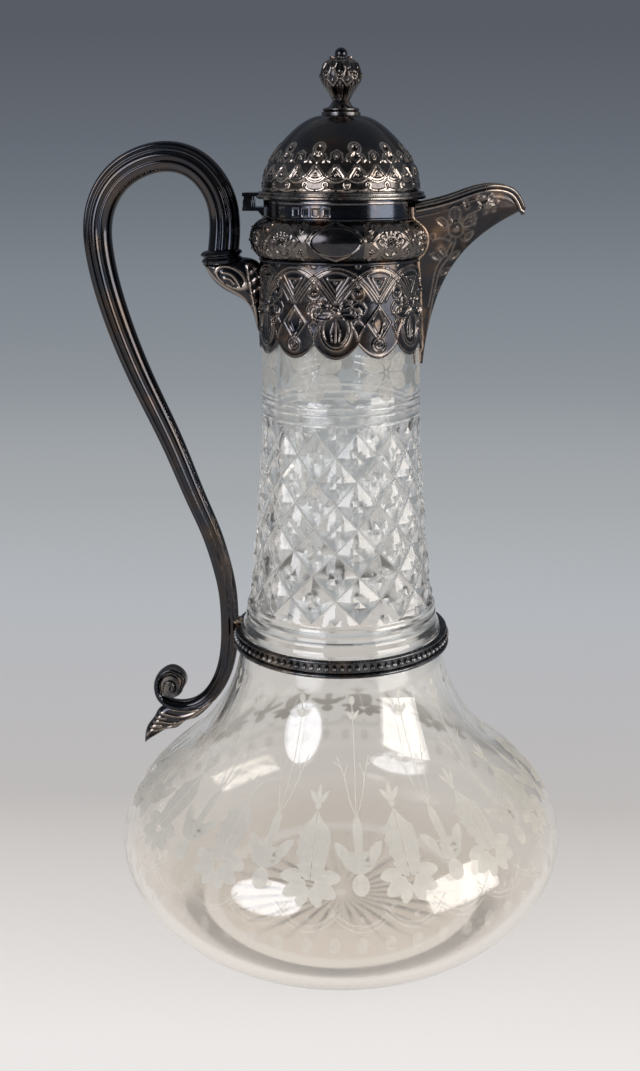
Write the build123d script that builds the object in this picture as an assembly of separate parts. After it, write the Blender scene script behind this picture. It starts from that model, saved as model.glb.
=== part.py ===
from build123d import *
import os
from math import cos, hypot, pi, radians, sin

# Claret jug: a cut-glass body with a mounted silver collar, beak spout, domed hinged lid and scroll handle.
# Millimetres. The origin is the centre of the foot, +Z is up, the spout points to +X and the handle to -X.

# ---------------------------------------------------------------- glass body
FOOT_RADIUS = 49.6
HEEL_RADIUS, HEEL_HEIGHT = 64.8, 10.0
BELLY_RADIUS, BELLY_HEIGHT = 75.9, 32.5
SHOULDER_RADIUS, SHOULDER_HEIGHT = 68.6, 50.0
SLOPE_RADIUS, SLOPE_HEIGHT = 51.4, 66.0
THROAT_RADIUS, THROAT_HEIGHT = 40.7, 80.0
ROOT_RADIUS, ROOT_SHARE = 35.6, 0.545           # share of the way up from the throat to the seat
SEAT_RADIUS, SEAT_HEIGHT = 33.8, 102.0          # cylinder that the neck ring sits on
STEP_RADIUS, STEP_HEIGHT = 33.2, 108.4          # polished step above the neck ring
CUT_RADIUS, CUT_HEIGHT = 31.5, 111.0            # start of the diamond cutting
MID_NECK_RADIUS, MID_NECK_HEIGHT = 27.9, 146.0
NECK_RADIUS, NECK_HEIGHT = 25.5, 178.5          # end of the diamond cutting
MOUTH_RADIUS, MOUTH_HEIGHT = 24.3, 226.0
FLOOR_THICKNESS = 8.0
BULB_WALL = 3.4
NECK_WALL = 4.0
RING_GROOVES = 3
RING_GROOVE_PITCH = 2.7
RING_GROOVE_DEPTH = 0.45
STAR_RAYS = 28
STAR_RADIUS = 43.0
STAR_HUB_RADIUS = 4.0
STAR_DEPTH = 1.2

# ---------------------------------------------------------------- silver collar
SHEET = 0.6                                     # sheet of the apron, spout and lid
CEMENT = 0.25                                   # room for the plaster between glass and collar
CEMENT_SLIP = 0.03                              # hairline between the plaster and the glass
SCALLOPS = 12
SCALLOP_TIP_HEIGHT = 200.6
SCALLOP_DEPTH = 4.4
APRON_TOP_HEIGHT = 229.2
BULGE_RADIUS, BULGE_HEIGHT = 28.1, 11.6
BAND_RADIUS = 24.0
BAND_WALL = 1.0
BAND_HEIGHT = 5.6
WIRE = 0.5                                      # radius of the two fillet wires

# ---------------------------------------------------------------- spout
BEAK_TIP_X, BEAK_TIP_HEIGHT = 56.7, 243.9
BEAK_FOOT_HEIGHT = 196.0
BEAK_HALF_WIDTH = 10.0                          # where it leaves the collar, at the rim
BEAK_RISE = 5.0                                 # how far its rim rises above the collar
BEAK_WIRE = 0.9                                 # radius of the rolled rim
BEAK_FULLNESS = 0.95
BEAK_CREST_BACK = 10.5                          # highest point of the rim, back from the tip
BEAK_BROW_BACK = 3.2                            # where the rim turns down, back from the tip
BEAK_BROW_UP = 4.9
TRIM_DEPTH = 5.0                                # how far trimming shapes run past what they trim
WINDOW_HALF_WIDTH = 6.5
WINDOW_HOOP = 1.6                               # band left closed above the pouring window
WINDOW_SILL = 2.0                               # bulge left closed below its point

# ---------------------------------------------------------------- lid
LID_GAP = 0.3
FLANGE_RADIUS = 26.2
FLANGE_THICKNESS = 2.1
DOME_RADIUS = 24.3
DOME_SIDE_RADIUS, DOME_SIDE_HEIGHT = 22.5, 8.0
DOME_SHOULDER_RADIUS, DOME_SHOULDER_HEIGHT = 15.9, 16.8
DOME_HEIGHT = 22.3
BEZEL_DEPTH = 3.0
BEZEL_GAP = 0.35

# ---------------------------------------------------------------- finial
FINIAL_FOOT_RADIUS, FINIAL_FOOT_HEIGHT = 6.0, 4.0
FINIAL_STEM_RADIUS = 2.5
BUD_RADIUS, BUD_HEIGHT = 6.2, 12.0
BUD_RIM_RADIUS = 2.8
BEAD_RADIUS = 1.9
STUD_RADIUS = 1.2
NUT_WIDTH, NUT_HEIGHT = 5.5, 2.2
WASHER_RADIUS, WASHER_THICKNESS = 4.0, 0.5

# ---------------------------------------------------------------- hinge
PIN_X, PIN_DROP = -28.5, 0.6                    # drop of the pin below the top of the rim band
PIN_RADIUS = 0.6
PIN_HEAD_RADIUS, PIN_HEAD_THICKNESS = 0.95, 0.4
KNUCKLE_RADIUS = 1.3
KNUCKLE_LENGTH = 2.0
KNUCKLE_GAP = 0.3
KNUCKLES = 5
RUNNING_FIT = 0.05
LEAF_THICKNESS = 1.1
LEAF_GAP = 0.3
LEAF_TAIL = 1.5                                 # overhang of the two leaves behind the pin
GUSSET_DROP = 2.0

# ---------------------------------------------------------------- neck ring
RING_HEIGHT = 5.4
RING_THICKNESS = 1.4
RING_FIT = 0.1
RING_BEADS = 90
RING_BEAD_RADIUS = 0.8
RING_WIRE_OUT = 1.0                             # how far the lower wire stands out

# ---------------------------------------------------------------- handle
SOCKET_RADIUS, SOCKET_HEIGHT = 6.5, 4.2
SOCKET_X, SOCKET_Z = -37.3, 226.8
CROOK_X, CROOK_Z, CROOK_RADIUS = -56.2, 239.2, 19.9
SWAN_X, SWAN_Z = -72.0, 210.5
FOREARM_X, FOREARM_Z = -59.3, 178.6
ELBOW_X, ELBOW_Z = -47.5, 149.1
WRIST_X, WRIST_Z = -40.3, 128.4
HEEL_TURN_Z, HEEL_STANDOFF = 82.1, 4.2            # standoff of the centre line from the glass there
TAIL_X, TAIL_Z = -56.6, 74.5
ARM_DEPTH = 8.0                                 # section at the crook, across the jug
ARM_WIDTH = 9.4                                 # section at the crook, in the plane of the handle
ARM_END_SHARE = 0.6                             # the section tapers to this share at the tail
ARM_RING_SEAT = 1.0                             # how deep the ring is let into the arm
VOLUTE_X, VOLUTE_Z, VOLUTE_RADIUS = -59.5, 83.4, 5.9
VOLUTE_WIDTH = 6.4
VOLUTE_EYE_RADIUS, VOLUTE_EYE_PROUD = 1.8, 0.7
LEAF_TIP_X, LEAF_TIP_Z = -69.0, 61.5
LEAF_LOBE_X, LEAF_LOBE_Z = -66.3, 70.6
LEAF_BELLY_X, LEAF_BELLY_Z = -57.1, 67.8
LEAF_ROOT_X, LEAF_ROOT_Z = -48.2, 73.2
LEAF_WIDTH = 4.6
LEAF_CLASP_BACK, LEAF_CLASP_FRONT, LEAF_CLASP_UP = 6.0, 5.0, 2.0    # grip round the tail of the arm
BRACKET_WIDTH = 7.0
BRACKET_TOE_Z = 205.6
BRACKET_WAIST_X, BRACKET_WAIST_Z = -30.7, 215.2
BRACKET_LOBE_X, BRACKET_LOBE_Z = -38.1, 219.4
BRACKET_TOP_Z = 228.5
LUG_WIDTH, LUG_HEIGHT = 5.0, 1.8

# ---------------------------------------------------------------- levels that follow from the sizes above
ROOT_HEIGHT = THROAT_HEIGHT + ROOT_SHARE * (SEAT_HEIGHT - THROAT_HEIGHT)
BULGE_TOP = APRON_TOP_HEIGHT + BULGE_HEIGHT
RIM_TOP = BULGE_TOP + BAND_HEIGHT
FLANGE_BOTTOM = RIM_TOP + LID_GAP
FLANGE_TOP = FLANGE_BOTTOM + FLANGE_THICKNESS
CROWN = FLANGE_TOP + DOME_HEIGHT                  # flat of the dome under the finial
PIN_Z = RIM_TOP - PIN_DROP
BAND_INNER = BAND_RADIUS - BAND_WALL
APRON_TOP_RADIUS = MOUTH_RADIUS + CEMENT + SHEET


def glass_radius(height):
    """Outer radius of the straight glass between the cut neck and the mouth."""
    share = (height - NECK_HEIGHT) / (MOUTH_HEIGHT - NECK_HEIGHT)
    return NECK_RADIUS + share * (MOUTH_RADIUS - NECK_RADIUS)


def bulb_points():
    """(radius, height) points of the bulb's outer face, from the foot to the seat of the neck ring."""
    return [(FOOT_RADIUS, 0), (HEEL_RADIUS, HEEL_HEIGHT), (BELLY_RADIUS, BELLY_HEIGHT),
            (SHOULDER_RADIUS, SHOULDER_HEIGHT), (SLOPE_RADIUS, SLOPE_HEIGHT), (THROAT_RADIUS, THROAT_HEIGHT),
            (ROOT_RADIUS, ROOT_HEIGHT), (SEAT_RADIUS, SEAT_HEIGHT)]


def bulb_radius(height):
    """Outer radius of the bulb at a height, taken straight between its points."""
    points = bulb_points()
    for (r0, z0), (r1, z1) in zip(points, points[1:]):
        if height <= z1:
            return r0 + (r1 - r0) * (height - z0) / (z1 - z0)
    return SEAT_RADIUS


def turned(edges):
    """Solid turned about the jug's axis from a closed outline in the XZ plane."""
    return revolve(make_face(edges), Axis.Z)


def outline(*points):
    """Straight closed outline through (radius, height) points."""
    return Polyline(*[(r, 0, z) for r, z in points], close=True)


def xz(points):
    """(radius, height) pairs as points of the XZ plane."""
    return [(r, 0, z) for r, z in points]


def inset(points, wall):
    """Points one wall inside a line of (radius, height) points that runs upwards."""
    inner = []
    for i, (r, z) in enumerate(points):
        r0, z0 = points[max(i - 1, 0)]
        r1, z1 = points[min(i + 1, len(points) - 1)]
        length = hypot(r1 - r0, z1 - z0)
        inner.append((r - wall * (z1 - z0) / length, z + wall * (r1 - r0) / length))
    return inner


# ---------------------------------------------------------------- glass
def glass_body():
    """Thick-based bulb and tapering neck in one piece, ring-cut below the collar and star-cut underneath."""
    bulb = bulb_points()
    neck = [(CUT_RADIUS, CUT_HEIGHT), (MID_NECK_RADIUS, MID_NECK_HEIGHT), (NECK_RADIUS, NECK_HEIGHT)]
    outer = [
        Line((0, 0, 0), (FOOT_RADIUS, 0, 0)),
        Spline(*xz(bulb)),
        Polyline(*xz([bulb[-1], (SEAT_RADIUS, STEP_HEIGHT - 1.6), (STEP_RADIUS, STEP_HEIGHT - 1.2),
                      (STEP_RADIUS, STEP_HEIGHT), neck[0]])),
        Spline(*xz(neck)),
        Line(*xz([neck[-1], (MOUTH_RADIUS, MOUTH_HEIGHT)])),
    ]
    inner_neck = [(r - NECK_WALL, z) for r, z in neck]
    inner_bulb = inset(bulb[1:7], BULB_WALL)
    inner_bulb[0] = (HEEL_RADIUS - 2 * BULB_WALL, FLOOR_THICKNESS + BULB_WALL)
    inner = [
        Line(*xz([(MOUTH_RADIUS, MOUTH_HEIGHT), (MOUTH_RADIUS - NECK_WALL, MOUTH_HEIGHT)])),
        Line(*xz([(MOUTH_RADIUS - NECK_WALL, MOUTH_HEIGHT), inner_neck[2]])),
        Spline(*xz(inner_neck[::-1] + inner_bulb[::-1])),
        Line(*xz([inner_bulb[0], (HEEL_RADIUS - 5 * BULB_WALL, FLOOR_THICKNESS)])),
        Line((HEEL_RADIUS - 5 * BULB_WALL, 0, FLOOR_THICKNESS), (0, 0, FLOOR_THICKNESS)),
        Line((0, 0, FLOOR_THICKNESS), (0, 0, 0)),
    ]
    body = turned(outer + inner)
    for i in range(RING_GROOVES):
        height = NECK_HEIGHT + (i + 1) * RING_GROOVE_PITCH
        radius = glass_radius(height)
        body -= turned(outline((radius - RING_GROOVE_DEPTH, height),
                               (radius + 1, height - 1.2 * RING_GROOVE_PITCH / 2),
                               (radius + 1, height + 1.2 * RING_GROOVE_PITCH / 2)))
    return body - star_cut()


def star_cut():
    """V-shaped rays under the foot, deepest at mid-length, round a flat hub."""
    half_width = 0.8 * pi * STAR_HUB_RADIUS / STAR_RAYS
    middle = (STAR_RADIUS + STAR_HUB_RADIUS) / 2
    ends = []
    for radius, depth, width in ((STAR_HUB_RADIUS, 0.05, half_width),
                                 (middle, STAR_DEPTH, 0.8 * pi * middle / STAR_RAYS),
                                 (STAR_RADIUS, 0.05, half_width)):
        plane = Plane(origin=(radius, 0, 0), x_dir=(0, 1, 0), z_dir=(1, 0, 0))
        ends.append(plane * make_face(Polyline((-width, -0.1), (width, -0.1), (0, depth), close=True)))
    ray = loft(ends, ruled=True)
    return [ray.rotate(Axis.Z, i * 360 / STAR_RAYS) for i in range(STAR_RAYS)]


def cement_bed():
    """Plaster that holds the glass neck in the collar."""
    low = SCALLOP_TIP_HEIGHT + SCALLOP_DEPTH + 1
    high = MOUTH_HEIGHT
    return turned(outline((glass_radius(low) + CEMENT_SLIP, low), (glass_radius(low) + CEMENT, low),
                          (glass_radius(high) + CEMENT, high), (glass_radius(high) + CEMENT_SLIP, high)))


# ---------------------------------------------------------------- collar
def scallop_cutter():
    """Curved triangle between two scallops, cut through the sheet from outside."""
    half = glass_radius(SCALLOP_TIP_HEIGHT) * sin(pi / SCALLOPS)
    cusp = SCALLOP_TIP_HEIGHT + SCALLOP_DEPTH
    bow = half / 2, SCALLOP_TIP_HEIGHT + 0.25 * SCALLOP_DEPTH
    floor = SCALLOP_TIP_HEIGHT - 1
    edges = [
        ThreePointArc((0, cusp), bow, (half, SCALLOP_TIP_HEIGHT)),
        Polyline((half, SCALLOP_TIP_HEIGHT), (half, floor), (-half, floor), (-half, SCALLOP_TIP_HEIGHT)),
        ThreePointArc((-half, SCALLOP_TIP_HEIGHT), (-bow[0], bow[1]), (0, cusp)),
    ]
    face = Plane(origin=(0, 0, 0), x_dir=(0, -1, 0), z_dir=(-1, 0, 0)) * make_face(edges)
    return extrude(face, 2 * NECK_RADIUS)


def collar_apron():
    """Tapering sleeve over the top of the glass, with a scalloped lower edge."""
    low = glass_radius(SCALLOP_TIP_HEIGHT) + CEMENT
    high = APRON_TOP_RADIUS - SHEET
    apron = turned(outline((low, SCALLOP_TIP_HEIGHT), (low + SHEET, SCALLOP_TIP_HEIGHT),
                           (high + SHEET, APRON_TOP_HEIGHT), (high, APRON_TOP_HEIGHT)))
    cutter = scallop_cutter()
    return apron - [cutter.rotate(Axis.Z, (i + 0.5) * 360 / SCALLOPS) for i in range(SCALLOPS)]


def bulge_profile(wall):
    """Ends and crown of the bulge's outline, one wall inside its outer face."""
    return [(APRON_TOP_RADIUS - wall, APRON_TOP_HEIGHT),
            (BULGE_RADIUS - wall, APRON_TOP_HEIGHT + BULGE_HEIGHT / 2),
            (BAND_RADIUS + WIRE - wall, BULGE_TOP)]


def collar_bulge():
    """Round swelling between apron and rim band, open towards the spout."""
    outer, inner = xz(bulge_profile(0)), xz(bulge_profile(BAND_WALL))
    shell = turned([ThreePointArc(*outer), Line(outer[2], inner[2]), ThreePointArc(*inner),
                    Line(inner[0], outer[0])])
    return shell - pouring_window()


def collar_rim_band():
    """Plain band that the lid closes on, open towards the spout under a hoop."""
    band = turned(outline((BAND_INNER, BULGE_TOP), (BAND_RADIUS, BULGE_TOP),
                          (BAND_RADIUS, RIM_TOP), (BAND_INNER, RIM_TOP)))
    return band - pouring_window()


def pouring_window():
    """Arched opening through band and bulge, behind the beak."""
    low, high = APRON_TOP_HEIGHT + WINDOW_SILL, RIM_TOP - WINDOW_HOOP
    radius = WINDOW_HALF_WIDTH
    edges = [
        ThreePointArc((radius, high - radius), (0, high), (-radius, high - radius)),
        Line((-radius, high - radius), (0, low)),
        Line((0, low), (radius, high - radius)),
    ]
    face = Plane(origin=(0, 0, 0), x_dir=(0, -1, 0), z_dir=(1, 0, 0)) * make_face(edges)
    return extrude(face, 2 * BULGE_RADIUS)


def fillet_wire(radius, height):
    """Half-round wire on a cylinder of the given radius."""
    return turned([Line((radius, 0, height), (radius, 0, height + 2 * WIRE)),
                   ThreePointArc((radius, 0, height + 2 * WIRE), (radius + WIRE, 0, height + WIRE),
                                 (radius, 0, height))])


def collar_envelope():
    """Everything inside the collar's and glass neck's outer face, to trim what is soldered on."""
    trim_foot = BEAK_FOOT_HEIGHT - TRIM_DEPTH
    sleeve_low = glass_radius(trim_foot)
    outer = xz(bulge_profile(0))
    apron_low = glass_radius(SCALLOP_TIP_HEIGHT) + CEMENT + SHEET
    return turned([
        Polyline((0, 0, trim_foot), (sleeve_low, 0, trim_foot),
                 (apron_low, 0, SCALLOP_TIP_HEIGHT), outer[0]),
        ThreePointArc(*outer),
        Polyline(outer[2], (BAND_RADIUS, 0, BULGE_TOP), (BAND_RADIUS, 0, RIM_TOP), (0, 0, RIM_TOP),
                 (0, 0, trim_foot)),
    ])


def collar_upper_wire():
    """Wire in the corner between bulge and rim band."""
    return fillet_wire(BAND_RADIUS, BULGE_TOP)


def collar_lower_wire():
    """Wire round the top of the apron, under the bulge."""
    return fillet_wire(APRON_TOP_RADIUS, APRON_TOP_HEIGHT - 2 * WIRE) - collar_envelope()


# ---------------------------------------------------------------- spout
def beak_keel(height):
    """How far the beak reaches from the axis at a height: a keel that sweeps out to the tip."""
    share = (height - BEAK_FOOT_HEIGHT) / (BEAK_TIP_HEIGHT - BEAK_FOOT_HEIGHT)
    root = glass_radius(BEAK_FOOT_HEIGHT) + CEMENT + SHEET
    low = min(share, 1.0)
    sweep_out = 0.13 * low + 0.37 * low ** 2 + 0.5 * low ** 5
    return root + (BEAK_TIP_X - root) * (sweep_out + 0.2 * (share - low))


def beak_root_half_width(height):
    """Half-width of the beak where it meets the collar."""
    share = max(0.0, (height - BEAK_FOOT_HEIGHT) / (BEAK_TIP_HEIGHT - BEAK_FOOT_HEIGHT))
    return 0.8 + (BEAK_HALF_WIDTH - 0.8) * share ** 0.9


def beak_half_width(x, height):
    """Half-width of the beak's outer face at a distance x and a height."""
    back = BAND_INNER - BAND_WALL
    share = min(1.0, (x - back) / (beak_keel(height) - back))
    return beak_root_half_width(height) * (1 - share ** 2) ** BEAK_FULLNESS


def beak_section(height, wall):
    """Horizontal leaf-shaped section of the beak, one wall inside its outer face."""
    back = BAND_INNER - BAND_WALL
    reach = beak_keel(height) - back
    narrowing = 1 - wall / beak_root_half_width(height)
    side = []
    for share in (0.0, 0.35, 0.65, 0.88):
        x = back + share * reach
        side.append((x - 1.5 * wall * share, narrowing * beak_half_width(x, height)))
    nose = (back + reach - 1.5 * wall, 0)
    points = side + [nose] + [(x, -y) for x, y in reversed(side)]
    face = make_face([Spline(*points), Line(points[-1], points[0])])
    return Pos(0, 0, height) * face


def beak_rim_line():
    """The rim in side view: it rises from the collar and rolls over to the pouring tip."""
    start = (BAND_INNER, RIM_TOP - 2 * BEAK_WIRE)
    crest = (BEAK_TIP_X - BEAK_CREST_BACK, RIM_TOP + BEAK_RISE - BEAK_WIRE)
    tip = (BEAK_TIP_X - BEAK_WIRE, BEAK_TIP_HEIGHT)
    quarter = (start[0] + 0.45 * (crest[0] - start[0]), start[1] + 0.42 * (crest[1] - start[1]))
    brow = (tip[0] - BEAK_BROW_BACK, tip[1] + BEAK_BROW_UP)
    return [start, quarter, crest, brow, tip]


def spout_shell():
    """Open beak of sheet silver, with a keel that runs down to a point below the apron."""
    span = RIM_TOP + BEAK_RISE + 2 - BEAK_FOOT_HEIGHT
    steps = 12
    heights = [BEAK_FOOT_HEIGHT + span * i / steps for i in range(steps + 1)]
    outer = loft([beak_section(h, 0) for h in heights], ruled=True)
    inner = loft([beak_section(h, SHEET) for h in heights[1:]], ruled=True)
    rim = xz(beak_rim_line())
    top = RIM_TOP + 4 * BEAK_RISE
    far = 2 * BEAK_TIP_X
    above = make_face([Spline(*rim), Polyline(rim[-1], (far, 0, rim[-1][2]), (far, 0, top), (0, 0, top),
                                              (0, 0, rim[0][2]), rim[0])])
    shell = outer - inner - extrude(above, far, both=True) - collar_envelope()
    return max(shell.solids(), key=lambda solid: solid.volume)


def spout_rim_wire():
    """Rolled wire along the rim of the beak, from the collar round the tip and back."""
    side = []
    for x, z in beak_rim_line()[:-1]:
        side.append((x, beak_half_width(x, z), z))
    tip = beak_rim_line()[-1]
    points = side + [(tip[0], 0, tip[1])] + [(x, -y, z) for x, y, z in reversed(side)]
    path = Spline(*points)
    section = Plane(origin=path @ 0, z_dir=path % 0) * Circle(BEAK_WIRE)
    return sweep(section, path=path)


# ---------------------------------------------------------------- lid
def dome_points():
    """(radius, height) points of the dome's outer face, from the flange to the crown."""
    return [(DOME_RADIUS, FLANGE_TOP), (DOME_SIDE_RADIUS, FLANGE_TOP + DOME_SIDE_HEIGHT),
            (DOME_SHOULDER_RADIUS, FLANGE_TOP + DOME_SHOULDER_HEIGHT), (FINIAL_FOOT_RADIUS, CROWN)]


def lid_dome():
    """Domed sheet, flat under the finial, with a hole for the finial's stud."""
    outer = dome_points()
    inner = inset(outer, SHEET)
    inner[0] = (DOME_RADIUS - SHEET, FLANGE_TOP)
    inner[-1] = (FINIAL_FOOT_RADIUS, CROWN - SHEET)
    edges = [
        Spline(*xz(outer), tangents=[(0, 0, 1), (-1, 0, 0.08)]),
        Polyline(*xz([outer[-1], (STUD_RADIUS, CROWN), (STUD_RADIUS, CROWN - SHEET), inner[-1]])),
        Spline(*xz(inner[::-1]), tangents=[(1, 0, -0.08), (0, 0, -1)]),
        Line(*xz([inner[0], outer[0]])),
    ]
    return turned(edges)


def lid_flange():
    """Moulded ring that the dome stands on and that rests over the rim band."""
    middle = FLANGE_BOTTOM + 0.55 * FLANGE_THICKNESS
    bore = BAND_INNER - BEZEL_GAP - SHEET
    edges = [
        Polyline(*xz([(FLANGE_RADIUS - 0.5, FLANGE_TOP), (bore, FLANGE_TOP), (bore, FLANGE_BOTTOM),
                      (FLANGE_RADIUS - 0.7, FLANGE_BOTTOM)])),
        ThreePointArc(*xz([(FLANGE_RADIUS - 0.7, FLANGE_BOTTOM),
                           (FLANGE_RADIUS, (FLANGE_BOTTOM + middle) / 2), (FLANGE_RADIUS - 0.5, middle)])),
        Line(*xz([(FLANGE_RADIUS - 0.5, middle), (FLANGE_RADIUS - 0.5, FLANGE_TOP)])),
    ]
    return turned(edges)


def lid_bezel():
    """Short sleeve under the flange that locates the lid inside the rim band."""
    outer = BAND_INNER - BEZEL_GAP
    return turned(outline((outer - SHEET, FLANGE_BOTTOM - BEZEL_DEPTH), (outer, FLANGE_BOTTOM - BEZEL_DEPTH),
                          (outer, FLANGE_BOTTOM), (outer - SHEET, FLANGE_BOTTOM)))


# ---------------------------------------------------------------- finial
def finial_foot():
    """Turned foot in three steps, flaring down from the stem to the crown of the dome."""
    base, stem = FINIAL_FOOT_RADIUS, FINIAL_STEM_RADIUS
    top = CROWN + FINIAL_FOOT_HEIGHT
    ring = CROWN + 0.22 * FINIAL_FOOT_HEIGHT
    shelf = CROWN + 0.4 * FINIAL_FOOT_HEIGHT
    edges = [
        Polyline(*xz([(STUD_RADIUS, top), (STUD_RADIUS, CROWN), (base, CROWN), (base, ring)])),
        ThreePointArc(*xz([(base, ring), (0.86 * base, (ring + shelf) / 2), (0.92 * base, shelf)])),
        Line(*xz([(0.92 * base, shelf), (0.72 * base, shelf)])),
        ThreePointArc(*xz([(0.72 * base, shelf), (stem + 0.35, (shelf + top) / 2), (stem, top)])),
        Line(*xz([(stem, top), (STUD_RADIUS, top)])),
    ]
    return turned(edges)


def finial_bud():
    """Fluted bud: narrow at the stem, widest above its middle, drawn in to a leafy rim."""
    low = CROWN + FINIAL_FOOT_HEIGHT
    high = low + BUD_HEIGHT
    line = [(FINIAL_STEM_RADIUS, low), (FINIAL_STEM_RADIUS + 0.9, low + 0.15 * BUD_HEIGHT),
            (0.86 * BUD_RADIUS, low + 0.4 * BUD_HEIGHT), (BUD_RADIUS, low + 0.63 * BUD_HEIGHT),
            (0.8 * BUD_RADIUS, low + 0.86 * BUD_HEIGHT), (BUD_RIM_RADIUS, high)]
    bore = STUD_RADIUS
    depth = low + 0.4 * BUD_HEIGHT
    edges = [
        Spline(*xz(line)),
        Polyline(*xz([line[-1], (0, high), (0, depth), (bore, depth), (bore, low), line[0]])),
    ]
    return turned(edges)


def finial_bead():
    """Ball on top of the bud, seated on a small flat."""
    high = CROWN + FINIAL_FOOT_HEIGHT + BUD_HEIGHT
    ball = Pos(0, 0, high + 0.8 * BEAD_RADIUS) * Sphere(BEAD_RADIUS)
    return ball - Pos(0, 0, high - BEAD_RADIUS) * Box(4 * BEAD_RADIUS, 4 * BEAD_RADIUS, 2 * BEAD_RADIUS)


def finial_stud():
    """Threaded stud that draws the finial down on the dome."""
    low = CROWN - SHEET - WASHER_THICKNESS - NUT_HEIGHT - 0.8
    high = CROWN + FINIAL_FOOT_HEIGHT + 0.4 * BUD_HEIGHT
    return Pos(0, 0, (low + high) / 2) * Cylinder(STUD_RADIUS, high - low)


def finial_washer():
    """Washer under the dome."""
    washer = Cylinder(WASHER_RADIUS, WASHER_THICKNESS) - Cylinder(STUD_RADIUS, 2 * WASHER_THICKNESS)
    return Pos(0, 0, CROWN - SHEET - WASHER_THICKNESS / 2) * washer


def finial_nut():
    """Square nut on the stud."""
    nut = Box(NUT_WIDTH, NUT_WIDTH, NUT_HEIGHT) - Cylinder(STUD_RADIUS, 2 * NUT_HEIGHT)
    return Pos(0, 0, CROWN - SHEET - WASHER_THICKNESS - NUT_HEIGHT / 2) * nut


# ---------------------------------------------------------------- hinge
def knuckle(index, radius):
    """Cylinder along Y at one knuckle's place."""
    pitch = KNUCKLE_LENGTH + KNUCKLE_GAP
    y = (index - (KNUCKLES - 1) / 2) * pitch
    return Pos(PIN_X, y, PIN_Z) * Rot(90, 0, 0) * Cylinder(radius, KNUCKLE_LENGTH)


def hinge_leaf(side, indices, bore):
    """A strap with its knuckles: side +1 is the lid's leaf above the pin, -1 the collar's below it."""
    width = KNUCKLES * KNUCKLE_LENGTH + (KNUCKLES - 1) * KNUCKLE_GAP
    near = PIN_Z + side * (KNUCKLE_RADIUS + LEAF_GAP)
    far = near + side * LEAF_THICKNESS
    reach = -PIN_X - BAND_RADIUS + 1.5
    strap = Box(reach + LEAF_TAIL, width, LEAF_THICKNESS)
    strap = Pos(PIN_X + (reach - LEAF_TAIL) / 2, 0, (near + far) / 2) * strap
    for index in indices:
        barrel = knuckle(index, KNUCKLE_RADIUS)
        web_box = Box(2 * KNUCKLE_RADIUS, KNUCKLE_LENGTH, KNUCKLE_RADIUS + LEAF_GAP)
        y = (index - (KNUCKLES - 1) / 2) * (KNUCKLE_LENGTH + KNUCKLE_GAP)
        strap += barrel
        strap += Pos(PIN_X, y, PIN_Z + side * (KNUCKLE_RADIUS + LEAF_GAP) / 2) * web_box
    bore_rod = Pos(PIN_X, 0, PIN_Z) * Rot(90, 0, 0) * Cylinder(bore, 2 * width)
    return strap - bore_rod


def hinge_lid_leaf():
    """Upper leaf, soldered to the edge of the flange, with the even knuckles."""
    leaf = hinge_leaf(1, range(1, KNUCKLES, 2), PIN_RADIUS + RUNNING_FIT)
    return leaf - lid_flange() - Pos(0, 0, FLANGE_TOP) * Cylinder(DOME_RADIUS, DOME_HEIGHT)


def hinge_collar_leaf():
    """Lower leaf, soldered to the rim band over a small gusset, with the odd knuckles."""
    leaf = hinge_leaf(-1, range(0, KNUCKLES, 2), PIN_RADIUS)
    width = KNUCKLES * KNUCKLE_LENGTH + (KNUCKLES - 1) * KNUCKLE_GAP
    top = PIN_Z - KNUCKLE_RADIUS - LEAF_GAP - LEAF_THICKNESS
    corner = (-BAND_RADIUS + 1, top)
    side_view = Polyline(corner, (-BAND_RADIUS - 1.6, top), (-BAND_RADIUS + 0.2, top - GUSSET_DROP),
                         (-BAND_RADIUS + 1, top - GUSSET_DROP), close=True)
    face = Plane(origin=(0, 0, 0), x_dir=(1, 0, 0), z_dir=(0, -1, 0)) * make_face(side_view)
    return leaf + extrude(face, width * 0.3, both=True) - collar_envelope() - collar_upper_wire()


def hinge_pin():
    """Pin through the knuckles, with a low head at each end."""
    width = KNUCKLES * KNUCKLE_LENGTH + (KNUCKLES - 1) * KNUCKLE_GAP
    pin = Cylinder(PIN_RADIUS, width)
    head = Cylinder(PIN_HEAD_RADIUS, PIN_HEAD_THICKNESS)
    for side in (-1, 1):
        pin += Pos(0, 0, side * (width + PIN_HEAD_THICKNESS) / 2) * head
    return Pos(PIN_X, 0, PIN_Z) * Rot(90, 0, 0) * pin


# ---------------------------------------------------------------- neck ring
def neck_ring_band():
    """Channelled band round the root of the neck."""
    inner = SEAT_RADIUS + RING_FIT
    outer = inner + RING_THICKNESS
    low, high = SEAT_HEIGHT, SEAT_HEIGHT + RING_HEIGHT
    return turned(outline((inner, low), (outer + RING_WIRE_OUT, low), (outer + RING_WIRE_OUT, low + 1.2),
                          (outer, low + 1.5), (outer, high - 0.9), (outer + 0.25, high - 0.7),
                          (outer + 0.25, high - 0.2), (outer, high), (inner, high)))


def neck_ring_beads():
    """Row of beads in the band's channel."""
    outer = SEAT_RADIUS + RING_FIT + RING_THICKNESS
    height = SEAT_HEIGHT + (1.5 + RING_HEIGHT - 0.9) / 2
    bead = Pos(outer, 0, height) * Sphere(RING_BEAD_RADIUS)
    bead -= Cylinder(outer, 4 * SEAT_HEIGHT)
    return Compound([bead.rotate(Axis.Z, (i + 0.5) * 360 / RING_BEADS) for i in range(RING_BEADS)])


def ring_envelope(margin):
    """Solid disc round the neck ring, to trim what is soldered on."""
    outer = SEAT_RADIUS + RING_FIT + RING_THICKNESS + RING_WIRE_OUT + margin
    return Pos(0, 0, SEAT_HEIGHT + RING_HEIGHT / 2) * Cylinder(outer, RING_HEIGHT)


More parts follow.
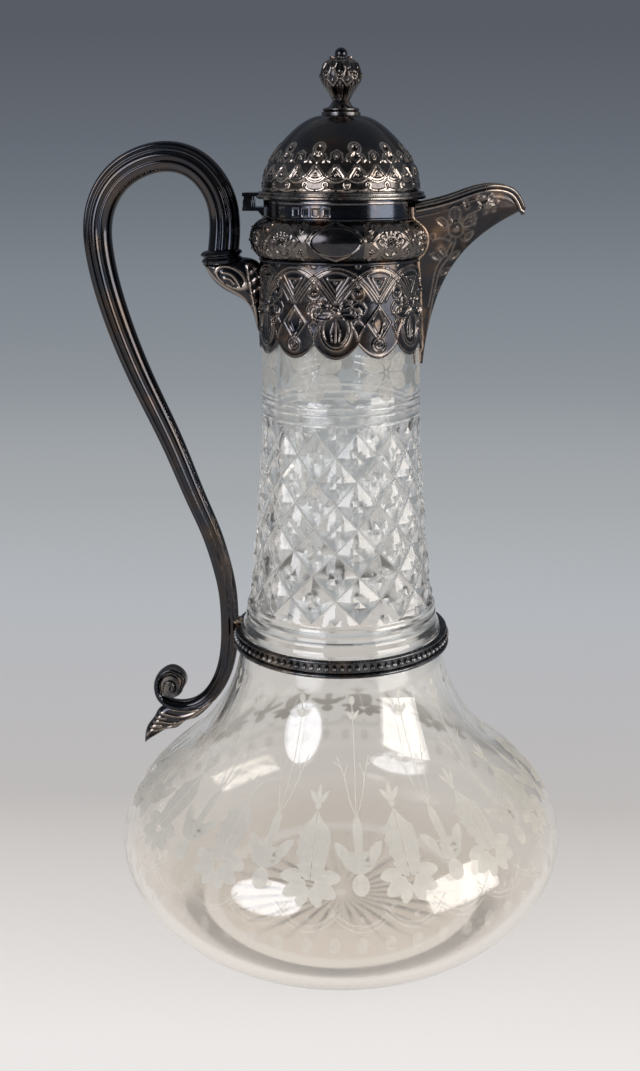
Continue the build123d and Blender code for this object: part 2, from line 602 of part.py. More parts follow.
# ---------------------------------------------------------------- handle
def arm_section(plane, share):
    """Oval section of the arm at a plane, tapering with the share of the way down."""
    scale = 1 - (1 - ARM_END_SHARE) * share
    return plane * Ellipse(ARM_DEPTH / 2 * scale, ARM_WIDTH / 2 * scale)


def arm_path():
    """Centre line of the handle, from the socket over the crook and down to the tail."""
    arm_x = -(SEAT_RADIUS + RING_FIT + RING_THICKNESS + RING_WIRE_OUT
              + ARM_WIDTH * ARM_END_SHARE / 2 - ARM_RING_SEAT)
    top = SOCKET_Z + SOCKET_HEIGHT
    crook = []
    for angle in (30, 75, 120, 165):
        across, up = cos(radians(angle)), sin(radians(angle))
        crook.append((CROOK_X + CROOK_RADIUS * across, 0, CROOK_Z + CROOK_RADIUS * up))
    points = [(SOCKET_X, 0, top)] + crook + [
        (SWAN_X, 0, SWAN_Z), (FOREARM_X, 0, FOREARM_Z), (ELBOW_X, 0, ELBOW_Z), (WRIST_X, 0, WRIST_Z),
        (arm_x, 0, SEAT_HEIGHT + RING_HEIGHT), (-bulb_radius(HEEL_TURN_Z) - HEEL_STANDOFF, 0, HEEL_TURN_Z),
        (TAIL_X, 0, TAIL_Z)]
    return Spline(*points)


def handle_loop():
    """Swan-necked arm of oval section, cut to seat on the neck ring."""
    path = arm_path()
    stations = 12
    sections = []
    for i in range(stations + 1):
        share = i / stations
        plane = Plane(origin=path @ share, x_dir=(0, 1, 0), z_dir=path % share)
        sections.append(arm_section(plane, share))
    arm = sweep(sections, path=path, multisection=True)
    return arm - ring_envelope(0)


def handle_socket():
    """Double ring round the lower end of the crook."""
    rings = []
    for share, radius in ((0.25, 0.94 * SOCKET_RADIUS), (0.75, SOCKET_RADIUS)):
        ring = Pos(SOCKET_X, 0, SOCKET_Z + share * SOCKET_HEIGHT) * Cylinder(radius, 0.5 * SOCKET_HEIGHT)
        rings.append(fillet(ring.edges().filter_by(GeomType.CIRCLE), 0.2 * SOCKET_HEIGHT))
    return rings[0] + rings[1]


def handle_bracket():
    """Leaf-shaped bracket from the socket down to the apron."""
    toe_x = -glass_radius(BRACKET_TOE_Z)
    deep = toe_x + 3
    edges = [
        Spline((SOCKET_X - 0.7 * SOCKET_RADIUS, SOCKET_Z), (BRACKET_LOBE_X, BRACKET_LOBE_Z),
               (BRACKET_WAIST_X, BRACKET_WAIST_Z), (toe_x - 0.9, BRACKET_TOE_Z)),
        Polyline((toe_x - 0.9, BRACKET_TOE_Z), (deep, BRACKET_TOE_Z), (deep, BRACKET_TOP_Z),
                 (-BAND_RADIUS - 2, BRACKET_TOP_Z), (SOCKET_X + 0.7 * SOCKET_RADIUS, SOCKET_Z),
                 (SOCKET_X - 0.7 * SOCKET_RADIUS, SOCKET_Z)),
    ]
    face = Plane(origin=(0, 0, 0), x_dir=(1, 0, 0), z_dir=(0, -1, 0)) * make_face(edges)
    return extrude(face, BRACKET_WIDTH / 2, both=True) - collar_envelope() - handle_socket()


def handle_volute():
    """Rolled scroll at the foot of the handle, with an eye on each face."""
    disc = Rot(90, 0, 0) * Cylinder(VOLUTE_RADIUS, VOLUTE_WIDTH)
    disc = fillet(disc.edges().filter_by(GeomType.CIRCLE), 0.8)
    eye = Rot(90, 0, 0) * Cylinder(VOLUTE_EYE_RADIUS, VOLUTE_WIDTH + 2 * VOLUTE_EYE_PROUD)
    return Pos(VOLUTE_X, 0, VOLUTE_Z) * (disc + eye)


def handle_leaf():
    """Lobed leaf that ends the handle below the scroll."""
    back = (TAIL_X - LEAF_CLASP_BACK, TAIL_Z + LEAF_CLASP_UP)
    edges = [
        Spline((LEAF_ROOT_X, LEAF_ROOT_Z), (LEAF_BELLY_X, LEAF_BELLY_Z), (LEAF_TIP_X, LEAF_TIP_Z)),
        Spline((LEAF_TIP_X, LEAF_TIP_Z), (LEAF_LOBE_X, LEAF_LOBE_Z), back),
        Polyline(back, (TAIL_X + LEAF_CLASP_FRONT, back[1]), (LEAF_ROOT_X, LEAF_ROOT_Z)),
    ]
    face = Plane(origin=(0, 0, 0), x_dir=(1, 0, 0), z_dir=(0, -1, 0)) * make_face(edges)
    return extrude(face, LEAF_WIDTH / 2, both=True)


def ring_lug():
    """Small block of solder on top of the neck ring, between the handle and the glass."""
    top = SEAT_HEIGHT + RING_HEIGHT
    outer = SEAT_RADIUS + RING_FIT + RING_THICKNESS
    lug = Pos(-outer, 0, top + LUG_HEIGHT / 2) * Box(2 * RING_THICKNESS, LUG_WIDTH, LUG_HEIGHT)
    return lug - Pos(0, 0, top) * Cylinder(SEAT_RADIUS + RING_FIT, 4 * LUG_HEIGHT)


def build():
    """Every sub-part by node name."""
    wires = collar_upper_wire() + collar_lower_wire()
    rim_wire = spout_rim_wire() - collar_envelope() - wires
    socket = handle_socket()
    arm = handle_loop() - socket
    volute = handle_volute() - arm
    return {
        "glass_body": glass_body(),
        "cement_bed": cement_bed(),
        "collar_apron": collar_apron(),
        "collar_lower_wire": collar_lower_wire(),
        "collar_bulge": collar_bulge(),
        "collar_upper_wire": collar_upper_wire(),
        "collar_rim_band": collar_rim_band(),
        "spout_shell": spout_shell() - rim_wire - wires,
        "spout_rim_wire": rim_wire,
        "lid_flange": lid_flange(),
        "lid_dome": lid_dome(),
        "lid_bezel": lid_bezel(),
        "finial_foot": finial_foot(),
        "finial_bud": finial_bud(),
        "finial_bead": finial_bead(),
        "finial_stud": finial_stud(),
        "finial_washer": finial_washer(),
        "finial_nut": finial_nut(),
        "hinge_lid_leaf": hinge_lid_leaf(),
        "hinge_collar_leaf": hinge_collar_leaf(),
        "hinge_pin": hinge_pin(),
        "neck_ring_band": neck_ring_band(),
        "neck_ring_beads": neck_ring_beads(),
        "handle_loop": arm,
        "handle_socket": socket,
        "handle_bracket": handle_bracket() - wires,
        "handle_volute": volute,
        "handle_leaf": handle_leaf() - arm - volute,
        "ring_lug": ring_lug() - arm,
    }


os.makedirs("parts", exist_ok=True)
for name, shape in build().items():
    export_step(shape, f"parts/{name}.step")
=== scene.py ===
import bmesh
import bpy
import numpy as np
from math import cos, pi, radians, sin
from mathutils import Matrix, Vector


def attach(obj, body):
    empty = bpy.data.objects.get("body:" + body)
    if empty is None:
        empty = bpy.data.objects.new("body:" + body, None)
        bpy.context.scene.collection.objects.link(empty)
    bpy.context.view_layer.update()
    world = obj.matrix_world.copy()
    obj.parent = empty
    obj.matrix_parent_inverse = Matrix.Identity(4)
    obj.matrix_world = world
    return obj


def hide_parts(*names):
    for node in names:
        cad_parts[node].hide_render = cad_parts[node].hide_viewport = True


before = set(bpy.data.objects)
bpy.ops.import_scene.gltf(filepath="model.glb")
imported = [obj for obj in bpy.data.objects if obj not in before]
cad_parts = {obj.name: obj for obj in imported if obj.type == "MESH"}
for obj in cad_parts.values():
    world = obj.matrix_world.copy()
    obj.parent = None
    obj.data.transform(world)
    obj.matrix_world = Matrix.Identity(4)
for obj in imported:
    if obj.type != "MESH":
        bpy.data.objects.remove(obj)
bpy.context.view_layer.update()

# ---------------------------------------------------------------- glass body
# Blown lead crystal with a heavy foot, cut on the wheel while cold: four rows of diamonds with a small
# cross in each, three rings above them and two polished rolls below, and a star of rays under the foot. It
# stands on its own; everything else on the jug is fixed to it.
MM = 0.001
DIAMONDS, DIAMOND_ROWS, DIAMOND_LOW, DIAMOND_PITCH = 12, 4, 117.5, 15.1
CUT_STEPS = 16
MITRE_DEPTH, MITRE_REACH = 1.5, 0.3125
CROSS_DEPTH, CROSS_REACH = 0.5, 0.125
BULB_LINE = [(49.6, 0), (64.8, 10), (75.86, 32.5), (68.6, 50), (51.4, 66), (40.7, 80), (35.6, 92),
             (33.8, 102)]
NECK_LINE = [(31.5, 111), (27.9, 146), (25.5, 178.5)]
RING_CUTS = (180.5, 183.4, 185.7)
RING_CUT_LINE = [(25.5, -0.8), (25.4, -0.4), (25.2, 0.0), (25.38, 0.4), (25.42, 0.8)]
STRAIGHT_FOOT, STRAIGHT_TAPER = (25.3, 187.5), 0.026
FLOOR_LEVEL, BULB_WALL = 8.0, 3.4
INNER_BULB_RISE, INNER_BULB_TOP = 3.5, 97.0
STAR_RAYS, RAY_WIDTH, STAR_DEPTH = 28, 0.85, 0.56
STAR_START, STAR_EASE_IN, STAR_END, STAR_EASE_OUT = 3.0, 12.0, 43.2, 4.0
# The hazes are how rough the glass is inside its neck, its bulb and its floor, and along the mitres' bottoms.
NECK_HAZE, BULB_HAZE, FLOOR_HAZE, MITRE_HAZE = 0.14, 0.06, 0.24, 0.55
NECK_HAZE_END, NECK_HAZE_FADE, MITRE_HAZE_FROM = 192.0, 8.0, 0.86


def clear():
    """Object mode with nothing selected."""
    if bpy.context.object and bpy.context.object.mode != "OBJECT":
        bpy.ops.object.mode_set(mode="OBJECT")
    bpy.ops.object.select_all(action="DESELECT")


def pick(piece):
    """Selects one piece alone and makes it active."""
    clear()
    piece.select_set(True)
    bpy.context.view_layer.objects.active = piece


def named(name):
    """Names the piece just added."""
    piece = bpy.context.object
    piece.name = name
    piece.data.name = name
    return piece


def coords(piece):
    """The piece's points, one row each."""
    flat = np.empty(len(piece.data.vertices) * 3, np.float32)
    piece.data.vertices.foreach_get("co", flat)
    return flat.reshape(-1, 3).astype(float)


def put(piece, spots):
    """Moves the piece's points to these rows, in metres."""
    piece.data.vertices.foreach_set("co", np.asarray(spots, np.float32).ravel())
    piece.data.update()


def flowing(points, spacing):
    """A natural cubic curve through points, sampled at about this spacing."""
    knots = np.array(points, float)
    chord = np.concatenate([[0], np.cumsum(np.linalg.norm(np.diff(knots, axis=0), axis=1))])
    gaps, last = np.diff(chord), len(knots) - 1
    system, pulls = np.eye(last + 1), np.zeros_like(knots)
    for i in range(1, last):
        system[i, i - 1:i + 2] = gaps[i - 1], 2 * (gaps[i - 1] + gaps[i]), gaps[i]
        pulls[i] = 6 * ((knots[i + 1] - knots[i]) / gaps[i] - (knots[i] - knots[i - 1]) / gaps[i - 1])
    bend = np.linalg.solve(system, pulls)
    at = np.linspace(0, chord[-1], max(2, int(chord[-1] / spacing) + 1))
    i = np.clip(np.searchsorted(chord, at, side="right") - 1, 0, last - 1)
    gap = gaps[i][:, None]
    left, right = (chord[i + 1] - at)[:, None], (at - chord[i])[:, None]
    curved = bend[i] * left ** 3 / (6 * gap) + bend[i + 1] * right ** 3 / (6 * gap)
    straight_left = (knots[i] / gap - bend[i] * gap / 6) * left
    straight_right = (knots[i + 1] / gap - bend[i + 1] * gap / 6) * right
    return curved + straight_left + straight_right


def direction(line):
    """Unit direction of a line at each of its points."""
    run = np.gradient(line, axis=0)
    return run / np.linalg.norm(run, axis=1)[:, None]


def inset(line, wall):
    """A (radius, height) line moved in by one wall, for a line that runs upwards on the outside."""
    run = direction(line)
    return line + wall * np.stack([-run[:, 1], run[:, 0]], axis=1)


def lattice(name, across, rows):
    """A flat grid ready to be wrapped: the piece, each point's share across, and its row number."""
    clear()
    bpy.ops.mesh.primitive_grid_add(x_subdivisions=across, y_subdivisions=rows - 1, size=1)
    piece = named(name)
    spots = coords(piece)
    return piece, spots[:, 0] + 0.5, np.rint((spots[:, 1] + 0.5) * (rows - 1)).astype(int)


def weld(piece, sharp=30):
    """Joins what meets, turns the faces outwards, and shades it smooth up to an angle."""
    pick(piece)
    bpy.ops.object.mode_set(mode="EDIT")
    bpy.ops.mesh.select_all(action="SELECT")
    bpy.ops.mesh.remove_doubles(threshold=0.002 * MM)
    bpy.ops.mesh.dissolve_degenerate(threshold=0.001 * MM)
    bpy.ops.mesh.select_all(action="SELECT")
    bpy.ops.mesh.normals_make_consistent(inside=False)
    bpy.ops.object.mode_set(mode="OBJECT")
    bpy.ops.object.shade_smooth_by_angle(angle=radians(sharp))


def turn(radius, height, share):
    """Points round the jug's axis in metres; share 0 is at the handle and half a turn faces the spout."""
    angle = pi + 2 * pi * share
    return np.stack([radius * np.cos(angle), radius * np.sin(angle), height], axis=1) * MM


def bearing(share):
    """Degrees round the jug from the middle of its front, towards the spout."""
    return (360 * share + 90) % 360 - 180


def linear(colour):
    """An sRGB hex colour as linear RGBA."""
    shades = [int(colour[i:i + 2], 16) / 255 for i in (1, 3, 5)]
    return [s / 12.92 if s <= 0.04045 else ((s + 0.055) / 1.055) ** 2.4 for s in shades] + [1.0]


def node(tree, kind, settings=None, links=None, stops=()):
    """Adds a node with settings, links from (node, output) pairs, and a colour ramp's (place, hex) stops."""
    added = tree.nodes.new(kind)
    for key, value in (settings or {}).items():
        if isinstance(key, str) and key.islower():
            setattr(added, key, value)
        else:
            added.inputs[key].default_value = value
    for key, (source, output) in (links or {}).items():
        tree.links.new(source.outputs[output], added.inputs[key])
    if stops:
        band = added.color_ramp.elements
        while len(band) < len(stops):
            band.new(0.5)
        for element, (place, colour) in zip(band, stops):
            element.position = place
            element.color = linear(colour)
    return added


def material(name, settings):
    """A new material: itself, its node tree, and its Principled shader with these settings."""
    made = bpy.data.materials.new(name)
    made.use_nodes = True
    shine = made.node_tree.nodes["Principled BSDF"]
    for key, value in settings.items():
        shine.inputs[key].default_value = value
    return made, made.node_tree, shine


def coat(piece, stuff):
    """Gives a piece one material all over."""
    piece.data.materials.clear()
    piece.data.materials.append(stuff)


def mark(piece, name, values):
    """Keeps a share from 0 to 1 at each of the piece's points, for its material to read by this name."""
    layer = piece.data.attributes.new(name, "FLOAT", "POINT")
    layer.data.foreach_set("value", np.clip(values, 0, 1).astype(np.float32))


def finish(piece, stuff, body, replaced=None):
    """Gives a piece its material, the body it rides, and the solids it stands in for."""
    coat(piece, stuff)
    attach(piece, body)
    if replaced:
        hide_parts(replaced)


def mitre_depths(share, height):
    """Depth of the cutting along each of its two slants: deep mitres, and a shallow cross between them."""
    u, v = share * DIAMONDS, (height - DIAMOND_LOW) / DIAMOND_PITCH - 0.5
    depths = []
    for slant in (u + v, u - v):
        off = np.abs(slant - np.rint(slant))
        cross = CROSS_DEPTH * (1 - (0.5 - off) / CROSS_REACH)
        depths.append(np.maximum(MITRE_DEPTH * (1 - off / MITRE_REACH), cross))
    return depths


def crease(piece, across, first, last):
    """Splits the cut faces between two rows along their own creases."""
    sheet = bmesh.new()
    sheet.from_mesh(piece.data)
    sheet.verts.ensure_lookup_table()
    sheet.faces.ensure_lookup_table()
    faces = list(sheet.faces)
    for j in range(first, last):
        middle = DIAMOND_LOW + (j - first + 0.5) * DIAMOND_PITCH / CUT_STEPS
        rising, falling = mitre_depths((np.arange(across) + 0.5) / across, np.full(across, middle))
        for i in range(across):
            here = j * (across + 1) + i
            ends = (here + 1, here + across + 1) if rising[i] > falling[i] else (here, here + across + 2)
            bmesh.utils.face_split(faces[j * across + i], sheet.verts[ends[0]], sheet.verts[ends[1]])
            sheet.verts.ensure_lookup_table()
    sheet.to_mesh(piece.data)
    sheet.free()


bulb = flowing(BULB_LINE, 1.7)
neck = flowing(NECK_LINE, 1.0)
cut_top = DIAMOND_LOW + DIAMOND_ROWS * DIAMOND_PITCH
cut_heights = np.linspace(DIAMOND_LOW, cut_top, DIAMOND_ROWS * CUT_STEPS + 1)
cut_zone = np.stack([np.interp(cut_heights, neck[:, 1], neck[:, 0]), cut_heights], axis=1)
rolls = [(33.8, 106.6), (33.7, 107.0), (33.25, 107.4), (33.2, 108.4), (32.8, 109.4), (31.9, 110.6),
         (31.6, 111.3), (31.8, 111.7), (31.95, 112.3), (31.8, 113.4), (31.3, 114.0), (31.5, 114.6),
         (31.5, 115.4), (31.3, 116.2), (30.9, 116.8), (30.8, 117.2)]
ring_cuts = [(reach, height + up) for height in RING_CUTS for reach, up in RING_CUT_LINE]
straight = [(STRAIGHT_FOOT[0] - (z - STRAIGHT_FOOT[1]) * STRAIGHT_TAPER, z)
            for z in (187.5, 190, 195, 200, 205, 210, 216, 222, 226)]
outer = np.concatenate([bulb, rolls, cut_zone, ring_cuts, straight])
inner_bulb = inset(bulb, BULB_WALL)
above_floor = inner_bulb[:, 1] > FLOOR_LEVEL + INNER_BULB_RISE
inner_bulb = inner_bulb[above_floor & (inner_bulb[:, 1] < INNER_BULB_TOP)]
heel = inner_bulb[0][0]
floor = [(heel - 1.1, FLOOR_LEVEL + 2.4), (heel - 3.2, FLOOR_LEVEL + 1.2), (heel - 6.5, FLOOR_LEVEL + 0.4),
         (heel - 11.0, FLOOR_LEVEL + 0.1), (30, FLOOR_LEVEL), (12, FLOOR_LEVEL), (0, FLOOR_LEVEL)]
inner_neck = flowing([(20.3, 226), (21.5, 178.5), (23.9, 146), (27.5, 111), tuple(inner_bulb[-1])], 4.0)
star_radii = np.concatenate([[0.0, 2.0], np.linspace(4.0, 43.0, 16), [44.2, 46.5]])
under = np.stack([star_radii, np.zeros_like(star_radii)], axis=1)
outline = np.concatenate([under, outer, inner_neck, inner_bulb[-2::-1], floor])
columns = DIAMONDS * CUT_STEPS
body, share, row = lattice("glass_jug", columns, len(outline))
radius, height = outline[row, 0].copy(), outline[row, 1].copy()
first_cut = len(under) + len(bulb) + len(rolls)
last_cut = first_cut + len(cut_heights) - 1
in_cut = (row >= first_cut) & (row <= last_cut)
depth = np.maximum(0, np.maximum(*mitre_depths(share, height)))
radius[in_cut] -= depth[in_cut]
off_ray = 2 * np.abs(share * STAR_RAYS - np.rint(share * STAR_RAYS))
valley = np.clip(1 - off_ray / RAY_WIDTH, 0, 1)
valley *= np.clip((radius - STAR_START) / STAR_EASE_IN, 0, 1)
valley *= np.clip((STAR_END - radius) / STAR_EASE_OUT, 0, 1)
in_star = (row < len(under)) & (radius < STAR_END)
height[in_star] = STAR_DEPTH * valley[in_star]
put(body, turn(radius, height, share))
neck_start = len(under) + len(outer)
bulb_start = neck_start + len(inner_neck)
floor_start = len(outline) - len(floor)
neck_haze = NECK_HAZE * np.clip((NECK_HAZE_END - height) / NECK_HAZE_FADE, 0, 1)
inner_haze = np.select([row < neck_start, row < bulb_start, row < floor_start],
                       [0.0, neck_haze, BULB_HAZE], FLOOR_HAZE)
mitre_bottom = in_cut & (depth > MITRE_HAZE_FROM * MITRE_DEPTH)
mark(body, "hazed", np.maximum(inner_haze, np.where(mitre_bottom, MITRE_HAZE, 0)))
crease(body, columns, first_cut, last_cut)
weld(body, 12)

# Lead crystal, fire-polished and wheel-cut: colourless and very bright, with a faint warm stain towards the
# foot. Dried wine and lime cloud its inside and break the gloss, and the bottoms of the mitres stay grey
# from the wheel.
crystal, tree, shine = material("lead crystal, cut and polished", {"Transmission Weight": 1.0, "IOR": 1.54})
where = node(tree, "ShaderNodeTexCoord")
level = node(tree, "ShaderNodeSeparateXYZ", links={"Vector": (where, "Object")})
low = node(tree, "ShaderNodeMapRange", {"From Min": 0.0, "From Max": 0.06}, {"Value": (level, "Z")})
stain = node(tree, "ShaderNodeValToRGB", links={"Fac": (low, "Result")},
             stops=[(0.0, "#efe5d9"), (0.25, "#faf6f1"), (1.0, "#fdfdfc")])
tree.links.new(stain.outputs["Color"], shine.inputs["Base Color"])
bloom = node(tree, "ShaderNodeTexNoise", {"Scale": 26.0, "Detail": 4.0, "Roughness": 0.6},
             {"Vector": (where, "Object")})
film = node(tree, "ShaderNodeMapRange", {"From Min": 0.45, "From Max": 0.8, "To Min": 0.0, "To Max": 0.06},
            {"Value": (bloom, "Fac")})
lime = node(tree, "ShaderNodeAttribute", {"attribute_name": "hazed"})
haze = node(tree, "ShaderNodeMath", {"operation": "ADD"}, {0: (lime, "Fac"), 1: (film, "Result")})
tree.links.new(haze.outputs[0], shine.inputs["Roughness"])
finish(body, crystal, "jug", "glass_body")

# ---------------------------------------------------------------- wheel engraving
# Shallow matt cuts made with small copper wheels on the finished glass, built as thin skins on it: flowers
# and sprigs round the top of the neck, and on the bulb tulips with twigs, leaves between them, a double
# looped border and a row of ovals.
TULIPS, FLOWERS, OVALS, LOOPS = 14, 7, 56, 28
TULIP_AT, FLOWER_AT = 8.5, -14.6
FLOWER_LEVEL, FLOWER_HEART, FLOWER_REACH = 196.1, 0.9, 9.3
OVAL_LEVEL, LOOP_RADIUS, LOOP_OVERLAP, LOOP_SAG = 32.5, 73.5, 1.22, 4.0
MIDRIB = 0.28
FILM_LIFT, FILM_THICK = 0.03, 0.04
skin = np.concatenate([bulb, rolls, straight])


def span(rows):
    """Edges of an upright shape given as (height, left, right) rows."""
    return [(np.array([left, z], float), np.array([right, z], float)) for z, left, right in rows]


def petal(base, tip, wide, blunt=0.7, skew=0.8, steps=8):
    """Edges of a petal from base to tip in flat millimetres; more skew carries its widest place outwards."""
    base, tip = np.array(base, float), np.array(tip, float)
    along = (tip - base) / np.linalg.norm(tip - base)
    side = np.array([-along[1], along[0]])
    rows = []
    for t in np.linspace(0.02, 0.98, steps):
        half = wide * sin(pi * t ** skew) ** blunt
        rows.append((base + t * (tip - base) + half * side, base + t * (tip - base) - half * side))
    return rows


def stroke(path, wide):
    """Edges of a line of even width along flat points."""
    line = flowing(path, 0.9) if len(path) > 2 else np.array(path, float)
    run = direction(line)
    side = np.stack([-run[:, 1], run[:, 0]], axis=1) * wide / 2
    return list(zip(line + side, line - side))


def rounded(x, z, across, up, steps=9):
    """Edges of an oval."""
    rows = []
    for t in np.linspace(-0.995, 0.995, steps):
        level = sin(t * pi / 2)
        half = across * (1 - level ** 2) ** 0.5
        rows.append((z + up * level, x - half, x + half))
    return span(rows)


def engrave(name, strips, repeats, first):
    """Cuts the strips all round the jug: x runs round the skin from the motif's centre, z is the height."""
    points, faces = [], []
    for k in range(repeats):
        centre = radians(first + 360 * k / repeats)
        for rows in strips:
            start = len(points)
            for left, right in rows:
                for t in (0, 0.5, 1):
                    x, z = left + t * (right - left)
                    reach = np.interp(z, skin[:, 1], skin[:, 0])
                    angle = centre + x / reach
                    lifted = (reach + FILM_LIFT) * MM
                    points.append((lifted * sin(angle), -lifted * cos(angle), z * MM))
            for i in range(len(rows) - 1):
                a = start + 3 * i
                faces += [(a, a + 1, a + 4, a + 3), (a + 1, a + 2, a + 5, a + 4)]
    mesh = bpy.data.meshes.new(name)
    mesh.from_pydata(points, [], faces)
    piece = bpy.data.objects.new(name, mesh)
    bpy.context.scene.collection.objects.link(piece)
    pick(piece)
    bpy.ops.object.mode_set(mode="EDIT")
    bpy.ops.mesh.select_all(action="SELECT")
    bpy.ops.mesh.normals_make_consistent(inside=False)
    bpy.ops.object.mode_set(mode="OBJECT")
    sheet = piece.modifiers.new("depth", "SOLIDIFY")
    sheet.thickness, sheet.offset = FILM_THICK * MM, 0.0
    bpy.ops.object.modifier_apply(modifier=sheet.name)
    return piece


tulip = [rounded(0, 49.1, 2.6, 2.6),
         span([(51.7, -1.2, 1.2), (52.5, -3.6, 3.6), (54.0, -5.0, 5.0), (55.4, -5.5, 5.5),
               (56.4, -4.6, 4.6)]),
         petal((-3.0, 54.6), (-7.4, 58.4), 1.5), petal((3.0, 54.6), (7.4, 58.4), 1.5),
         span([(56.4, -1.2, 1.2), (58.4, -1.4, 1.4), (60.6, -1.5, 1.5), (62.6, -1.2, 1.2),
               (64.0, -0.4, 0.4)]),
         stroke([(0, 63.4), (-1.9, 68), (-3.0, 73), (-5.1, 78.4)], 0.27),
         stroke([(0, 63.4), (0.3, 72), (0.5, 82), (0.3, 93)], 0.27),
         stroke([(0, 63.4), (2.2, 68), (3.4, 73), (5.1, 78.4)], 0.27),
         stroke([(-3.0, 73), (-1.6, 76.4)], 0.25), stroke([(3.4, 73), (2.0, 76.4)], 0.25),
         stroke([(-4.0, 75.6), (-6.2, 77.0)], 0.25), stroke([(4.2, 75.6), (6.4, 77.0)], 0.25),
         petal((0.5, 88.6), (-1.5, 91.4), 0.55), petal((0.5, 88.6), (2.5, 91.4), 0.55),
         rounded(0.3, 94.4, 0.9, 1.4)]
blade = [(50.2, -1.6, 2.0), (51.5, -3.0, 3.4), (53.4, -4.5, 4.1), (53.9, -3.7, 4.2), (56.0, -5.2, 4.7),
         (56.5, -4.3, 4.7), (58.6, -5.4, 5.0), (59.1, -4.4, 4.9), (60.9, -5.0, 4.6), (61.6, -3.5, 3.4),
         (62.8, -2.1, 2.1), (64.0, -0.9, 0.9), (64.9, -0.25, 0.25)]
leaf = [span([(z, left, -MIDRIB / 2) for z, left, right in blade]),
        span([(z, MIDRIB / 2, right) for z, left, right in blade]), rounded(0, 66.1, 0.95, 0.9),
        petal((-0.2, 66.6), (-3.0, 69.6), 0.7), petal((0, 66.8), (0.1, 71.2), 0.75),
        petal((0.2, 66.6), (3.0, 69.6), 0.7)]
for x, z, tip_x, tip_z, wide in ((2.6, 51.2, 9.4, 50.6, 1.6), (1.2, 49.6, 8.2, 46.4, 2.0),
                                 (0.8, 48.8, 3.4, 43.8, 1.9)):
    leaf += [petal((side * x, z), (side * tip_x, tip_z), wide, 0.5) for side in (-1, 1)]
half_loop = LOOP_RADIUS * pi / LOOPS
loops = []
for low, wide in ((38.5, 0.62), (36.9, 0.5)):
    xs = np.linspace(-LOOP_OVERLAP, LOOP_OVERLAP, 9)
    loops.append(stroke([(x * half_loop, low + LOOP_SAG * x * x) for x in xs], wide))
loops.append(rounded(0, 40.6, 0.75, 0.85))
flower = []
for a in np.radians(np.arange(0, 360, 60)):
    base, tip = ((reach * sin(a), FLOWER_LEVEL + reach * cos(a)) for reach in (FLOWER_HEART, FLOWER_REACH))
    flower.append(petal(base, tip, 2.75, skew=1.35, steps=12))
flower.append(rounded(0, FLOWER_LEVEL, 0.6, 0.6))
sprig = [petal((0, 188.2), tip, 0.8) for tip in ((-2.6, 190.2), (0, 191.6), (2.6, 190.2))]
sprig.append(rounded(0, 187.9, 0.6, 0.6))
engravings = [engrave("tulips_engraved", tulip, TULIPS, TULIP_AT),
              engrave("leaves_engraved", leaf, TULIPS, TULIP_AT + 180 / TULIPS),
              engrave("loops_engraved", loops, LOOPS, TULIP_AT),
              engrave("ovals_engraved", [rounded(0, OVAL_LEVEL, 1.75, 2.75)], OVALS, TULIP_AT),
              engrave("flowers_engraved", flower, FLOWERS, FLOWER_AT),
              engrave("sprigs_engraved", sprig, FLOWERS, FLOWER_AT + 180 / FLOWERS)]

# Wheel-ground glass, left unpolished: a fine matt tooth that scatters white, and lets through some of the
# light behind it. A faint even glow of warm white is painted on as well, standing in for light scattered
# through the cut from behind. The flowers on the neck are only skimmed, and the border and ovals are ground
# so lightly that they stay fainter still.
def ground_glass(name, tone, thin, thick):
    """Matt cut glass whose cover runs between two shares in fine wheel marks."""
    # Painted glow: the faint warm-white emission stands in for light scattered through the matt cut from
    # behind.
    made, tree, shine = material(name, {"Base Color": linear(tone), "Roughness": 0.6, "IOR": 1.3,
                                        "Transmission Weight": 0.25, "Emission Color": linear("#d9d3c9"),
                                        "Emission Strength": 0.06})
    where = node(tree, "ShaderNodeTexCoord")
    wheel = node(tree, "ShaderNodeTexNoise", {"Scale": 700.0, "Detail": 2.0}, {"Vector": (where, "Object")})
    cover = node(tree, "ShaderNodeMapRange",
                 {"From Min": 0.3, "From Max": 0.7, "To Min": thin, "To Max": thick},
                 {"Value": (wheel, "Fac")})
    tree.links.new(cover.outputs["Result"], shine.inputs["Alpha"])
    return made


deep_cut = ground_glass("crystal, wheel-ground", "#d9d5cc", 0.62, 0.67)
border_cut = ground_glass("crystal, lightly ground", "#e6e2d9", 0.13, 0.17)
skimmed = ground_glass("crystal, skimmed", "#bfbbb2", 0.28, 0.33)
for piece, ground in zip(engravings, (deep_cut, deep_cut, border_cut, border_cut, skimmed, skimmed)):
    finish(piece, ground, "jug")

# ---------------------------------------------------------------- plaster bed
# Plaster of Paris, poured between the glass neck and the silver collar to hold the collar on. Dry and
# chalky, with a fine crumb; it has yellowed with age, and is seen only from inside.
plaster, tree, shine = material("plaster of Paris, aged", {"Roughness": 0.95})
where = node(tree, "ShaderNodeTexCoord")
crumb = node(tree, "ShaderNodeTexNoise", {"Scale": 1400.0, "Detail": 5.0}, {"Vector": (where, "Object")})
tint = node(tree, "ShaderNodeValToRGB", links={"Fac": (crumb, "Fac")},
            stops=[(0.3, "#a99a80"), (0.7, "#d3c8b2")])
tree.links.new(tint.outputs["Color"], shine.inputs["Base Color"])
coat(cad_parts["cement_bed"], plaster)

# ---------------------------------------------------------------- collar apron
# Sheet silver, raised to a taper and chased over pitch: interlaced arches, and under them flowers and
# lozenges by turns. Twelve scallops end it. It is plastered to the glass neck.
SCALLOPS, SCALLOP_TIP, SCALLOP_DEEP, APRON_TOP = 12, 200.6, 4.4, 229.2
APRON_RADIUS, APRON_TOP_RADIUS, APRON_RELIEF, APRON_RUB, HEM_RUB = 25.6, 25.15, 1.4, 0.5, 0.5
SHEET = 0.6
FAR_OFF = 9.0


